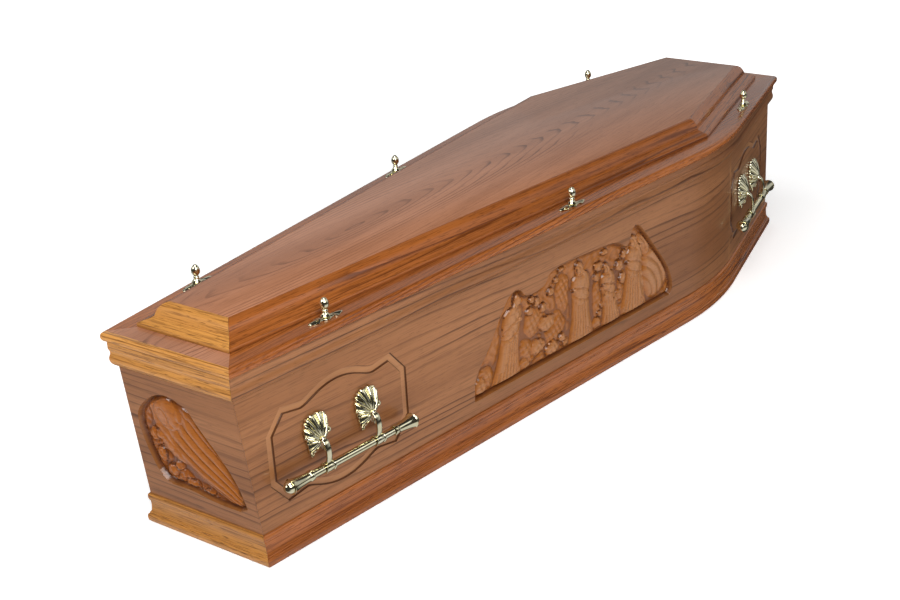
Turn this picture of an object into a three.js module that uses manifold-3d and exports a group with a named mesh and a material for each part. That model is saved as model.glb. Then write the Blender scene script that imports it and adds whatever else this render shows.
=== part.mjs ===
// A shouldered wooden coffin, closed, with a raised lid, carved boards, bar handles and lid screws.
// Millimetres. X runs from the foot to the head, Y from the near side to the far side, Z up.
// The origin is on the ground under the middle of the lid.

import * as THREE from 'three';
import { mergeVertices } from 'three/addons/utils/BufferGeometryUtils.js';
import Module from 'manifold-3d';

const wasm = await Module();
wasm.setup();

// Plan of the lid's outer edge; the shoulder is where its two straight side lines would meet
const lidLength = 2000;
const footWidth = 310;
const shoulderWidth = 616;
const headWidth = 342;
const shoulderFromFoot = 1456;

// Gap that pieces keep where they touch
const clearance = 0.3;

// Box: boards of one thickness, bent at the shoulder, with a raked foot board
const boxHeight = 382.5;
const wall = 20;
const floorThickness = 18;
const shoulderRadius = 750;
const bendSteps = 6;
const sideOverhang = 19;
const headOverhang = 17.5;
const footOverhang = 12;
const footRake = 42.5;

// Mouldings round the box
const baseHeight = 62;
const baseReach = 11.5;
const upperHeight = 46.5;
const upperReach = 11;

// Lid board and the raised part on it
const lidThickness = 20;
const bullnose = 9;
const raisedInset = 48;
const stripWidth = 46;
const raisedHeight = 40;
const topPanelThickness = 10;
const panelLedge = 10;

// Routed frames round the handles, as half sizes from their centre
const frameHalfWidth = 157;
const frameCornerRise = 43;
const frameNotchAcross = 129;
const frameNotchRise = 76;
const frameDipAcross = 90;
const frameDipRise = 70;
const frameCrownRise = 93;
const grooveWidth = 15;
const grooveDepth = 4;

// Handles: places of their centres from the ends, and sizes from the box's face
const footHandleFromFoot = 248;
const headHandleFromHead = 268;
const headFrameFromHead = 258;
const handlePlateHeight = 200;
const frameHeight = 192;
const bracketSpacing = 125;
const plateHalfWidth = 28;
const plateHalfHeight = 41;
const plateRise = 4;
const plateEdge = 4;
const ballRadius = 6.5;
const ballDrop = 3;
const ballStandOff = 20;
const barDrop = 54;
const barStandOff = 28;
const barRadius = 7.5;
const barLength = 202;
const ringRadius = 10.5;
const ringLength = 22;
const armWidth = 13;
const armThickness = 5;
const capLength = 65;
const capRadius = 15;

// Lid screws: places along the lid's edge from the foot, and sizes
const screwsFromFoot = { foot: 240, middle: 925, head: 1712 };
const screwInset = 24;
const screwPlateHalfLength = 40;
const screwPlateHalfWidth = 11;
const screwPlateThickness = 5;
const screwHeight = 35;
const screwRadius = 9.5;

// Carvings: sunk into the boards, with a sloping edge all round
const carvingDepth = 11;
const carvingEdge = 5;
const sideCarvingFromFoot = 601;
const sideCarvingHeight = 90;
const footCarvingHeight = 96;

const material = {
  veneer: paint(0x9a6a4a, 0.35, 0),
  lidVeneer: paint(0x9b7564, 0.35, 0),
  oak: paint(0xa9683a, 0.3, 0),
  paleOak: paint(0xc08a45, 0.3, 0),
  brass: paint(0xcfc79a, 0.18, 1),
};

function paint(color, roughness, metalness) {
  return new THREE.MeshStandardMaterial({ color, roughness, metalness });
}

// Plan of the near side: two straight runs, each with its outward direction
const foot = -lidLength / 2;
const head = lidLength / 2;
const shoulder = new THREE.Vector2(foot + shoulderFromFoot, -shoulderWidth / 2);
const footRun = straightRun(new THREE.Vector2(foot, -footWidth / 2), shoulder);
const headRun = straightRun(shoulder, new THREE.Vector2(head, -headWidth / 2));
const bisector = footRun.outward.clone().add(headRun.outward).normalize();

function straightRun(from, to) {
  const along = to.clone().sub(from).normalize();
  return { from, along, outward: new THREE.Vector2(along.y, -along.x) };
}

// The point at x of a run that is moved outward by an offset
function pointAtX(run, offset, x) {
  const start = run.from.clone().addScaledVector(run.outward, offset);
  return start.addScaledVector(run.along, (x - start.x) / run.along.x);
}

// The corner where both runs meet, moved outward by an offset
function shoulderCorner(offset) {
  return shoulder.clone().addScaledVector(bisector, offset / bisector.dot(footRun.outward));
}

function raised(point, height) {
  return new THREE.Vector3(point.x, point.y, height);
}

// A station turns an outward offset and a height into a point.
// These are measured from the box's outer faces.
function footBoardX(height) {
  return foot + footOverhang + footRake * (1 - height / boxHeight);
}

function boxFoot(offset, height) {
  return raised(pointAtX(footRun, offset - sideOverhang, footBoardX(height) - offset), height);
}

function boxHead(offset, height) {
  return raised(pointAtX(headRun, offset - sideOverhang, head - headOverhang + offset), height);
}

// The upper moulding stands plumb at the foot, with its back on the raked board
function plumbFoot(offset, height) {
  const level = offset > 2 * clearance ? boxHeight - upperHeight : height;
  return raised(pointAtX(footRun, offset - sideOverhang, footBoardX(level) - offset), height);
}

const bend = Array.from({ length: bendSteps + 1 }, (_, step) => (offset, height) => {
  const centre = shoulderCorner(-sideOverhang - shoulderRadius);
  const angle = THREE.MathUtils.lerp(footRun.outward.angle(), headRun.outward.angle(), step / bendSteps);
  const radius = shoulderRadius + offset;
  return new THREE.Vector3(
    centre.x + radius * Math.cos(angle), centre.y + radius * Math.sin(angle), height);
});

// These are measured from the lid's outer edge
function lidFoot(offset, height) {
  return raised(pointAtX(footRun, offset, foot - offset), height);
}

function lidHead(offset, height) {
  return raised(pointAtX(headRun, offset, head + offset), height);
}

function lidShoulder(offset, height) {
  return raised(shoulderCorner(offset), height);
}

function lidBend(station) {
  return (offset, height) => station(offset + sideOverhang, height);
}

// The same station on the far side
function far(station) {
  return (offset, height) => station(offset, height).multiply(new THREE.Vector3(1, -1, 1));
}

// The same station drawn back along a direction, so that a mitre keeps its gap
function drawnBack(station, direction) {
  const back = clearance / Math.SQRT2;
  return (offset, height) =>
    station(offset, height).add(new THREE.Vector3(direction.x, direction.y, 0).setLength(back));
}

const towardFar = new THREE.Vector2(0, 1);
const towardNear = new THREE.Vector2(0, -1);

function closed(geometry) {
  const bare = geometry.clone();
  bare.deleteAttribute('normal');
  bare.deleteAttribute('uv');
  return mergeVertices(bare, 1e-4);
}

// A profile of [offset, height] points carried from station to station
function sweep(profile, stations) {
  const shape = new THREE.Shape(profile.map(([offset, height]) => new THREE.Vector2(offset, height)));
  const steps = stations.length - 1;
  const geometry = closed(new THREE.ExtrudeGeometry(shape, { depth: steps, steps, bevelEnabled: false }));
  const position = geometry.attributes.position;
  for (let i = 0; i < position.count; i += 1) {
    const station = stations[Math.round(position.getZ(i))];
    const point = station(position.getX(i), position.getY(i));
    position.setXYZ(i, point.x, point.y, point.z);
  }
  return geometry;
}

// The near side's member with mitred ends, from the head round the bend to the foot
function sideMember(profile, footStation = boxFoot) {
  return sweep(profile, [
    drawnBack(boxHead, headRun.along.clone().negate()),
    ...[...bend].reverse(),
    drawnBack(footStation, footRun.along),
  ]);
}

function footMember(profile, footStation = boxFoot) {
  return sweep(profile, [drawnBack(footStation, towardFar), drawnBack(far(footStation), towardNear)]);
}

function headMember(profile) {
  return sweep(profile, [drawnBack(far(boxHead), towardNear), drawnBack(boxHead, towardFar)]);
}

function mirrored(geometry) {
  const copy = geometry.clone().scale(1, -1, 1);
  const index = copy.index;
  for (let i = 0; i < index.count; i += 3) {
    const first = index.getX(i);
    index.setX(i, index.getX(i + 2));
    index.setX(i + 2, first);
  }
  return copy;
}

function toSolid(geometry) {
  const merged = closed(geometry);
  return new wasm.Manifold(new wasm.Mesh({
    numProp: 3,
    vertProperties: new Float32Array(merged.attributes.position.array),
    triVerts: new Uint32Array(merged.index.array),
  }));
}

function toGeometry(solid) {
  const mesh = solid.getMesh();
  const geometry = new THREE.BufferGeometry();
  geometry.setAttribute('position', new THREE.BufferAttribute(mesh.vertProperties, 3));
  geometry.setIndex(new THREE.BufferAttribute(mesh.triVerts, 1));
  return geometry;
}

// A frame on a flat face: X along it, Y up it and Z out of it
function faceMatrix(origin, outward, up) {
  const across = new THREE.Vector3().crossVectors(up, outward);
  return new THREE.Matrix4().makeBasis(across, up, outward).setPosition(origin);
}

function runMatrix(run, x, height) {
  const origin = raised(pointAtX(run, -sideOverhang, x), height);
  return faceMatrix(origin, raised(run.outward, 0), new THREE.Vector3(0, 0, 1));
}

function footMatrix(height) {
  const up = new THREE.Vector3(footBoardX(boxHeight) - footBoardX(0), 0, boxHeight).normalize();
  const outward = new THREE.Vector3(-up.z, 0, up.x);
  return faceMatrix(new THREE.Vector3(footBoardX(height), 0, height), outward, up);
}

// A closed loop of points moved outward, with mitred corners; the loop runs anticlockwise
function offsetLoop(points, distance) {
  return points.map((point, i) => {
    const before = point.clone().sub(points.at(i - 1)).normalize();
    const after = points[(i + 1) % points.length].clone().sub(point).normalize();
    const sum = new THREE.Vector2(before.y + after.y, -before.x - after.x);
    return point.clone().addScaledVector(sum, distance / (1 + before.dot(after)));
  });
}

// The inner edge of a handle's frame: upright ends, notched corners and a crowned top and bottom
function frameLoop() {
  const arch = new THREE.CubicBezierCurve(
    new THREE.Vector2(frameDipAcross, frameDipRise),
    new THREE.Vector2(frameDipAcross * 0.75, frameDipRise),
    new THREE.Vector2(frameDipAcross * 0.5, frameCrownRise),
    new THREE.Vector2(0, frameCrownRise));
  const quarter = [
    new THREE.Vector2(frameHalfWidth, frameCornerRise),
    new THREE.Vector2(frameNotchAcross, frameNotchRise),
    ...arch.getPoints(3),
  ];
  const across = quarter.slice(0, -1).reverse().map(point => new THREE.Vector2(-point.x, point.y));
  const top = [...quarter, ...across];
  return [...top, ...top.map(point => point.clone().negate())];
}

function grooveCutter() {
  const inner = frameLoop();
  const shape = new THREE.Shape(offsetLoop(inner, grooveWidth));
  shape.holes.push(new THREE.Path(inner));
  const cutter = new THREE.ExtrudeGeometry(shape, { depth: 2 * grooveDepth, bevelEnabled: false });
  return cutter.translate(0, 0, -grooveDepth);
}

// Carved forms are built over a face: U along it, V up it and W out of it, from the pocket's corner.
// Each reaches from inside the board, below the pocket's floor, to its own rise above that floor.
const carvingFloor = -carvingDepth;
const carvingRoot = carvingFloor - 2;

// A block of columns and rows whose front is shaped; both run from 0 to 1
function shapedBlock(columns, rows, shaper) {
  const block = closed(new THREE.BoxGeometry(1, 1, 1, columns, rows, 1).translate(0.5, 0.5, 0));
  const position = block.attributes.position;
  for (let i = 0; i < position.count; i += 1) {
    const { u, v, rise } = shaper(position.getX(i), position.getY(i));
    position.setXYZ(i, u, v, position.getZ(i) > 0 ? carvingFloor + rise : carvingRoot);
  }
  return toSolid(block);
}

// The rounded rise of a folded cloth at a share across it, with its edges standing proud
function foldedRise(across, folds, rise) {
  const side = 2 * across - 1;
  const round = 0.45 + 0.55 * Math.sqrt(1 - 0.9 * side ** 2);
  return rise * round * (0.86 - 0.14 * Math.cos(2 * Math.PI * folds * across));
}

function dome(form, sides = 6, rings = 4) {
  const ball = new THREE.SphereGeometry(1, sides, rings).rotateX(Math.PI / 2);
  return toSolid(ball.scale(form.across, form.up, form.rise).translate(form.u, form.v, carvingFloor));
}

// A standing robed figure: its robe from the hem to the shoulders, its hood and its folded arms
function robedFigure(figure) {
  const shoulders = figure.height * 0.84;
  const robe = shapedBlock(2 * figure.folds, 3, (across, up) => {
    const width = THREE.MathUtils.lerp(figure.hem, figure.chest, THREE.MathUtils.smoothstep(up, 0, 0.6));
    const slope = up === 1 ? 0.5 : 1;
    return {
      u: figure.u + figure.lean * up ** 1.4 + width * slope * (across - 0.5),
      v: shoulders * up,
      rise: foldedRise(across, figure.folds, carvingDepth * 0.9 * (up === 1 ? 0.7 : 1)),
    };
  });
  const hood = dome({
    u: figure.u + figure.lean * 1.15,
    v: figure.height * 0.9,
    across: figure.height * 0.08,
    up: figure.height * 0.11,
    rise: carvingDepth * 0.95,
  });
  const hands = dome({
    u: figure.u + figure.lean * 0.8 + figure.facing * figure.chest * 0.35,
    v: shoulders * 0.74,
    across: figure.chest * 0.42,
    up: figure.chest * 0.17,
    rise: carvingDepth * 0.98,
  }, 5, 4);
  return robe.add(hood).add(hands);
}

// A cloak blown out in ripples round its middle
function billow(cloth) {
  const rings = 2 * cloth.ripples;
  const profile = [new THREE.Vector2(0, carvingRoot)];
  for (let i = 0; i <= rings; i += 1) {
    const out = 1 - i / rings;
    const ripple = i % 2 === 0 ? 0.7 : 1;
    profile.push(new THREE.Vector2(out, carvingFloor + (i === 0 ? 0 : cloth.rise * ripple)));
  }
  profile.splice(1, 0, new THREE.Vector2(1, carvingRoot));
  const disc = new THREE.LatheGeometry(profile, 10).rotateX(Math.PI / 2);
  return toSolid(disc.scale(cloth.across, cloth.up, 1).translate(cloth.u, cloth.v, 0));
}

// The side's scene: robed mourners standing and kneeling among rocks
const mourners = [
  { u: 106, lean: 36, height: 184, hem: 66, chest: 42, folds: 3, facing: 1 },
  { u: 352, lean: 2, height: 188, hem: 66, chest: 48, folds: 3, facing: -1 },
  { u: 456, lean: -14, height: 152, hem: 54, chest: 38, folds: 3, facing: -1 },
  { u: 534, lean: 6, height: 186, hem: 74, chest: 44, folds: 3, facing: -1 },
];
const sideCloths = [
  { u: 600, v: 84, across: 58, up: 68, rise: 9.5, ripples: 2 },
];
const sideRocks = [
  { u: 232, v: 84, across: 42, up: 54, rise: 10 },
  { u: 190, v: 44, across: 40, up: 34, rise: 8.5 },
  { u: 266, v: 28, across: 38, up: 30, rise: 7.5 },
  { u: 202, v: 150, across: 15, up: 17, rise: 10 },
  { u: 292, v: 124, across: 36, up: 70, rise: 6 },
  { u: 40, v: 30, across: 34, up: 44, rise: 7 },
  { u: 408, v: 26, across: 34, up: 24, rise: 6 },
];

function sideCarving() {
  const forms = [...mourners.map(robedFigure), ...sideCloths.map(billow), ...sideRocks.map(rock => dome(rock))];
  return wasm.Manifold.union(forms);
}

// The foot's carving: one bowed figure under a long cloth that trails down to a point
const bowedFigure = {
  crown: new THREE.Vector2(-46, 150),
  trail: new THREE.Vector2(124, 2),
  halfWidth: 62,
  folds: 3,
};
const footRocks = [
  { u: -84, v: 66, across: 22, up: 34, rise: 7 },
  { u: -60, v: 32, across: 20, up: 26, rise: 7 },
  { u: -18, v: 16, across: 24, up: 18, rise: 6 },
];

function footCarving() {
  const axis = bowedFigure.trail.clone().sub(bowedFigure.crown);
  const across = new THREE.Vector2(axis.y, -axis.x).normalize();
  const cloth = shapedBlock(2 * bowedFigure.folds, 5, (column, row) => {
    const width = bowedFigure.halfWidth * Math.sqrt(row) + 3;
    const point = bowedFigure.trail.clone()
      .addScaledVector(axis, -row)
      .addScaledVector(across, -width * (2 * column - 1));
    return { u: point.x, v: point.y, rise: foldedRise(column, bowedFigure.folds, carvingDepth * 0.9) };
  });
  const head = dome({
    u: bowedFigure.crown.x,
    v: bowedFigure.crown.y,
    across: bowedFigure.halfWidth * 1.04,
    up: bowedFigure.halfWidth * 0.8,
    rise: carvingDepth * 0.98,
  }, 10, 5);
  return wasm.Manifold.union([cloth, head, ...footRocks.map(rock => dome(rock))]);
}

// Outlines of the two carvings, from their lower left corner and from their lower middle
function curveThrough(points, divisions) {
  return new THREE.SplineCurve(points.map(([u, v]) => new THREE.Vector2(u, v))).getPoints(divisions);
}

const sideCarvingLoop = curveThrough([
  [664, 0], [673, 24], [655, 72], [600, 144], [548, 203], [524, 199], [505, 168], [455, 191],
  [310, 199], [246, 194], [222, 172], [170, 170], [148, 190], [118, 188], [84, 150], [50, 100],
  [8, 52], [0, 0],
], 22);

const footCarvingLoop = curveThrough([
  [116, 12], [103, 58], [77, 104], [33, 162], [10, 193], [-40, 205], [-88, 182], [-121, 138],
  [-110, 60], [-82, 12], [-23, 9], [43, 1], [96, 1],
], 18);

// Cuts a pocket with a sloping edge into a board and sets the carved forms into it
function carve(board, loop, forms, placement) {
  const shape = new THREE.Shape(loop);
  const pocket = new THREE.ExtrudeGeometry(shape, {
    depth: 1,
    bevelThickness: carvingDepth,
    bevelSize: carvingEdge,
    bevelSegments: 1,
  });
  const reach = new THREE.ExtrudeGeometry(shape, { depth: -carvingRoot, bevelEnabled: false });
  const carving = toGeometry(forms.intersect(toSolid(reach.translate(0, 0, carvingRoot))));
  const sunk = board.subtract(toSolid(pocket.applyMatrix4(placement)));
  return sunk.add(toSolid(carving.applyMatrix4(placement)));
}

function rectangle(outer, inner, bottom, top) {
  return [[inner, bottom], [outer, bottom], [outer, top], [inner, top]];
}

// The near side board, with its two frames and its carving
function sideBoard() {
  const blank = toSolid(sideMember(rectangle(0, -wall, 0, boxHeight)));
  const footFrame = grooveCutter().applyMatrix4(runMatrix(footRun, foot + footHandleFromFoot, frameHeight));
  const headFrame = grooveCutter().applyMatrix4(runMatrix(headRun, head - headFrameFromHead, frameHeight));
  const framed = blank.subtract(toSolid(footFrame)).subtract(toSolid(headFrame));
  const placement = runMatrix(footRun, foot + sideCarvingFromFoot, sideCarvingHeight);
  return toGeometry(carve(framed, sideCarvingLoop, sideCarving(), placement));
}

function footBoard() {
  const blank = toSolid(footMember(rectangle(0, -wall, 0, boxHeight)));
  return toGeometry(carve(blank, footCarvingLoop, footCarving(), footMatrix(footCarvingHeight)));
}

// A flat board with a plan loop of stations, its edge following them up from bottom to top
function slab(stations, offset, bottom, top) {
  const outline = stations.map(station => station(offset, bottom));
  const shape = new THREE.Shape(outline.map(point => new THREE.Vector2(point.x, point.y)));
  const geometry = new THREE.ExtrudeGeometry(shape, { depth: top - bottom, bevelEnabled: false });
  const board = closed(geometry.translate(0, 0, bottom));
  const position = board.attributes.position;
  for (let i = 0; i < position.count; i += 1) {
    const near = outline.findIndex(point =>
      Math.hypot(point.x - position.getX(i), point.y - position.getY(i)) < clearance / 10);
    const point = stations[near](offset, position.getZ(i));
    position.setXY(i, point.x, point.y);
  }
  return board;
}

function floorBoard() {
  const near = [boxFoot, ...bend, boxHead];
  const loop = [...near, ...near.map(far).reverse()];
  return slab(loop, -wall - clearance, 0, floorThickness);
}

function lidBoard() {
  const near = [lidFoot, ...bend.map(lidBend), lidHead];
  const loop = [...near, ...near.map(far).reverse()];
  const outline = loop.map(station => station(-bullnose, 0));
  const shape = new THREE.Shape(outline.map(point => new THREE.Vector2(point.x, point.y)));
  const board = new THREE.ExtrudeGeometry(shape, {
    depth: lidThickness - 2 * bullnose,
    bevelThickness: bullnose,
    bevelSize: bullnose,
    bevelSegments: 2,
  });
  return closed(board.translate(0, 0, lidBottom + bullnose));
}

// Profiles, as shares of a moulding's reach and height, from its top to its foot
const upperShares = [
  [0.98, 1], [0.98, 0.72], [0.85, 0.62], [0.78, 0.5], [0.9, 0.4],
  [1, 0.29], [0.86, 0.16], [0.45, 0.05], [0, 0],
];
const baseShares = [
  [0.2, 1], [0.4, 0.92], [0.4, 0.8], [0.24, 0.72], [0.24, 0.58],
  [0.38, 0.36], [0.62, 0.32], [0.91, 0.26], [1, 0.145], [0.91, 0.05], [0.7, 0],
];
const stripShares = [
  [1, 1], [0.8, 0.93], [0.65, 0.77], [0.56, 0.55], [0.52, 0.42],
  [0.46, 0.36], [0.2, 0.235], [0.065, 0.2], [0, 0.1], [0.01, 0],
];

function upperProfile() {
  const bottom = boxHeight - upperHeight;
  const face = upperShares.map(([out, up]) =>
    [clearance + (upperReach - clearance) * out, bottom + upperHeight * up]);
  return [...face, [clearance, boxHeight]].reverse();
}

function baseProfile() {
  const face = baseShares.map(([out, up]) => [clearance + (baseReach - clearance) * out, baseHeight * up]);
  return [...face, [clearance, 0], [clearance, baseHeight]].reverse();
}

const lidBottom = boxHeight + clearance;
const lidTop = lidBottom + lidThickness;
const raisedBottom = lidTop + clearance;
const raisedTop = raisedBottom + raisedHeight;

// A strip of the raised part, with a ledge inside that carries the top panel
function stripProfile() {
  const inner = -raisedInset - stripWidth;
  const ledge = raisedTop - topPanelThickness - clearance;
  const face = stripShares.map(([out, up]) =>
    [-raisedInset - stripWidth * out, raisedBottom + raisedHeight * up]);
  return [
    ...face,
    [inner - panelLedge, raisedBottom],
    [inner - panelLedge, ledge],
    [inner, ledge],
  ].reverse();
}

function stripBetween(from, fromDirection, to, toDirection) {
  return sweep(stripProfile(), [drawnBack(from, fromDirection), drawnBack(to, toDirection)]);
}

function nearFootStrip() {
  return stripBetween(lidShoulder, footRun.along.clone().negate(), lidFoot, footRun.along);
}

function nearHeadStrip() {
  return stripBetween(lidHead, headRun.along.clone().negate(), lidShoulder, headRun.along);
}

function topPanel() {
  const near = [lidFoot, lidShoulder, lidHead];
  const loop = [...near, ...near.map(far).reverse()];
  return slab(loop, -raisedInset - stripWidth - clearance, raisedTop - topPanelThickness, raisedTop);
}

// A handle is built on its face: X along the bar, Y up and Z out, from the middle of its plates.
// A backplate is a ribbed, domed leaf, narrower at its foot, that rises to the ball where the arm springs.
function backplate() {
  const ribs = 7;
  const profile = [[0, 0], [1, 0], [1, plateEdge], [0.55, 0.72 * ballStandOff], [0, ballStandOff]]
    .map(([out, front]) => new THREE.Vector2(out, front));
  const plate = closed(new THREE.LatheGeometry(profile, 2 * ribs).rotateX(Math.PI / 2));
  const position = plate.attributes.position;
  for (let i = 0; i < position.count; i += 1) {
    const across = position.getX(i);
    const up = position.getY(i);
    const radius = Math.hypot(across, up);
    const ridge = radius > 0 ? Math.cos(ribs * Math.atan2(across, up)) : 0;
    const spread = 1 + 0.07 * ridge;
    const narrowing = 1 - 0.25 * Math.max(-up, 0);
    position.setXYZ(
      i,
      plateHalfWidth * spread * narrowing * across,
      plateHalfHeight * spread * up + plateRise * radius - ballDrop * (1 - radius),
      clearance + position.getZ(i) * (1 + 0.12 * ridge));
  }
  return toSolid(plate);
}

function bracket() {
  const ball = new THREE.SphereGeometry(ballRadius, 6, 3).translate(0, -ballDrop, ballStandOff);
  const ring = new THREE.CylinderGeometry(ringRadius, ringRadius, ringLength, 10);
  ring.rotateZ(Math.PI / 2).translate(0, -barDrop, barStandOff);
  const boreRadius = (barRadius + clearance) / Math.cos(Math.PI / 10);
  const bore = new THREE.CylinderGeometry(boreRadius, boreRadius, 2 * ringLength, 10);
  bore.rotateZ(Math.PI / 2).translate(0, -barDrop, barStandOff);
  const solid = wasm.Manifold.union([backplate(), toSolid(ball), toSolid(arm()), toSolid(ring)]);
  return toGeometry(solid.subtract(toSolid(bore)));
}

// A strap that springs from the ball, bends out and drops to the ring
function arm() {
  const middle = new THREE.CubicBezierCurve(
    new THREE.Vector2(0.75 * ballStandOff, -ballDrop),
    new THREE.Vector2(1.2 * barStandOff, -ballDrop),
    new THREE.Vector2(1.1 * barStandOff, -0.55 * barDrop),
    new THREE.Vector2(barStandOff, -barDrop));
  const outer = [];
  const inner = [];
  const steps = 3;
  for (let i = 0; i <= steps; i += 1) {
    const point = middle.getPoint(i / steps);
    const along = middle.getTangent(i / steps);
    const across = new THREE.Vector2(-along.y, along.x).multiplyScalar(armThickness / 2);
    outer.push(point.clone().add(across));
    inner.unshift(point.clone().sub(across));
  }
  const strap = new THREE.ExtrudeGeometry(new THREE.Shape([...outer, ...inner]), {
    depth: armWidth, bevelEnabled: false,
  });
  return strap.translate(0, 0, -armWidth / 2).rotateY(-Math.PI / 2);
}

function bar() {
  const tube = new THREE.CylinderGeometry(barRadius, barRadius, barLength - 2 * clearance, 10);
  return closed(tube.rotateZ(Math.PI / 2).translate(0, -barDrop, barStandOff));
}

// A trumpet-shaped end: a collar, a neck that flares to a rim, and a round end
function cap(side) {
  const profile = [
    [0, 0], [0.66, 0], [0.66, 0.12], [0.6, 0.15], [0.7, 0.45], [1, 0.78], [0.82, 0.9], [0, 1],
  ].map(([out, along]) => new THREE.Vector2(capRadius * out, capLength * along));
  const turned = new THREE.LatheGeometry(profile, 8).rotateZ(-side * Math.PI / 2);
  return closed(turned.translate(side * barLength / 2, -barDrop, barStandOff));
}

// A lid screw stands on the lid: X along the edge and Z up.
// Its plate has three lobes, and the screw a flared foot and an egg-shaped knob.
function screwPlate() {
  const points = [];
  const stations = 9;
  for (let i = 0; i < 2 * stations; i += 1) {
    const angle = Math.PI * i / stations;
    const x = screwPlateHalfLength * Math.cos(angle);
    const lobe = 0.8 + 0.2 * Math.cos(3 * Math.PI * x / screwPlateHalfLength);
    const end = Math.sin(angle) >= 0 ? 1 : -1;
    const round = Math.sqrt(Math.abs(Math.sin(angle)));
    points.push(new THREE.Vector2(x, end * screwPlateHalfWidth * lobe * round));
  }
  const plate = new THREE.ExtrudeGeometry(new THREE.Shape(points), {
    depth: screwPlateThickness, bevelEnabled: false,
  });
  return closed(plate);
}

function screw() {
  const profile = [
    [0, 0], [1, 0], [0.62, 0.14], [0.42, 0.34], [1, 0.6], [0.9, 0.84], [0, 1],
  ].map(([out, up]) => new THREE.Vector2(screwRadius * out, screwHeight * up));
  const turned = new THREE.LatheGeometry(profile, 7).rotateX(Math.PI / 2);
  return closed(turned.translate(0, 0, screwPlateThickness + clearance));
}

const coffin = new THREE.Group();

function add(name, geometry, paintwork, parent = coffin) {
  const mesh = new THREE.Mesh(geometry, paintwork);
  mesh.name = name;
  parent.add(mesh);
}

// Adds a near-side piece and its mirror image on the far side
function addPair(name, geometry, paintwork) {
  add(`near_${name}`, geometry, paintwork);
  add(`far_${name}`, mirrored(geometry), paintwork);
}

function addBox() {
  add('floor_board', floorBoard(), material.veneer);
  addPair('side_board', sideBoard(), material.veneer);
  add('foot_board', footBoard(), material.veneer);
  add('head_board', headMember(rectangle(0, -wall, 0, boxHeight)), material.veneer);
}

function addMouldings() {
  addPair('base_moulding', sideMember(baseProfile()), material.oak);
  add('foot_base_moulding', footMember(baseProfile()), material.paleOak);
  add('head_base_moulding', headMember(baseProfile()), material.oak);
  addPair('upper_moulding', sideMember(upperProfile(), plumbFoot), material.oak);
  add('foot_upper_moulding', footMember(upperProfile(), plumbFoot), material.paleOak);
  add('head_upper_moulding', headMember(upperProfile()), material.oak);
}

function addLid() {
  add('lid_board', lidBoard(), material.lidVeneer);
  addPair('foot_side_lid_strip', nearFootStrip(), material.oak);
  addPair('head_side_lid_strip', nearHeadStrip(), material.oak);
  add('foot_lid_strip', stripBetween(lidFoot, towardFar, far(lidFoot), towardNear), material.paleOak);
  add('head_lid_strip', stripBetween(far(lidHead), towardNear, lidHead, towardFar), material.oak);
  add('top_panel', topPanel(), material.lidVeneer);
}

// A group on a side board, facing outward
function groupOnRun(side, run, x, height) {
  const mirror = new THREE.Vector3(1, side === 'near' ? 1 : -1, 1);
  const origin = raised(pointAtX(run, -sideOverhang, x), height).multiply(mirror);
  const outward = raised(run.outward, 0).multiply(mirror);
  const group = new THREE.Group();
  group.applyMatrix4(faceMatrix(origin, outward, new THREE.Vector3(0, 0, 1)));
  coffin.add(group);
  return group;
}

function addHandle(side, end, run, x) {
  const group = groupOnRun(side, run, x, handlePlateHeight);
  const name = `${side}_${end}_handle`;
  add(`${name}_bracket_1`, bracket().translate(-bracketSpacing / 2, 0, 0), material.brass, group);
  add(`${name}_bracket_2`, bracket().translate(bracketSpacing / 2, 0, 0), material.brass, group);
  add(`${name}_bar`, bar(), material.brass, group);
  add(`${name}_cap_1`, cap(-1), material.brass, group);
  add(`${name}_cap_2`, cap(1), material.brass, group);
}

function addScrew(side, end) {
  const x = foot + screwsFromFoot[end];
  const run = end === 'head' ? headRun : footRun;
  const sign = side === 'near' ? 1 : -1;
  const point = pointAtX(run, -screwInset, x);
  const group = new THREE.Group();
  group.position.set(point.x, sign * point.y, lidTop + clearance);
  group.rotation.z = sign * run.along.angle();
  coffin.add(group);
  add(`${side}_${end}_lid_screw_plate`, screwPlate(), material.brass, group);
  add(`${side}_${end}_lid_screw`, screw(), material.brass, group);
}

addBox();
addMouldings();
addLid();
for (const side of ['near', 'far']) {
  addHandle(side, 'foot', footRun, foot + footHandleFromFoot);
  addHandle(side, 'head', headRun, head - headHandleFromHead);
  for (const end of Object.keys(screwsFromFoot)) {
    addScrew(side, end);
  }
}

export default coffin;
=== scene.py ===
"""Looks for a wooden coffin: lacquered veneer boards, oak mouldings, carvings and brass furniture."""

import math

import bmesh
import bpy
import numpy as np
from bpy.props import FloatProperty, FloatVectorProperty, IntProperty, PointerProperty
from mathutils import Matrix, Vector


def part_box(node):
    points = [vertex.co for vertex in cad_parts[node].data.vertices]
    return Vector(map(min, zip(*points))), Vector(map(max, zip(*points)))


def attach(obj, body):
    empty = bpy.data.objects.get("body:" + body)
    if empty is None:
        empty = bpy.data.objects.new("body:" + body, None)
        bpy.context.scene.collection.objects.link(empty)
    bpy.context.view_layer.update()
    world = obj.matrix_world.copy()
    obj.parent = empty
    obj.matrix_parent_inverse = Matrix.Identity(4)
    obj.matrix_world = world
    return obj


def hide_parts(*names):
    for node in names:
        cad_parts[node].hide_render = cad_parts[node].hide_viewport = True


bl_info = {
    "name": "Wooden coffin",
    "version": (1, 0, 0),
    "blender": (4, 5, 0),
    "location": "View3D > Sidebar > Coffin",
    "description": "Dresses a packed coffin with fine mouldings, carvings, brass and wood finishes",
    "category": "Object",
}

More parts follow.
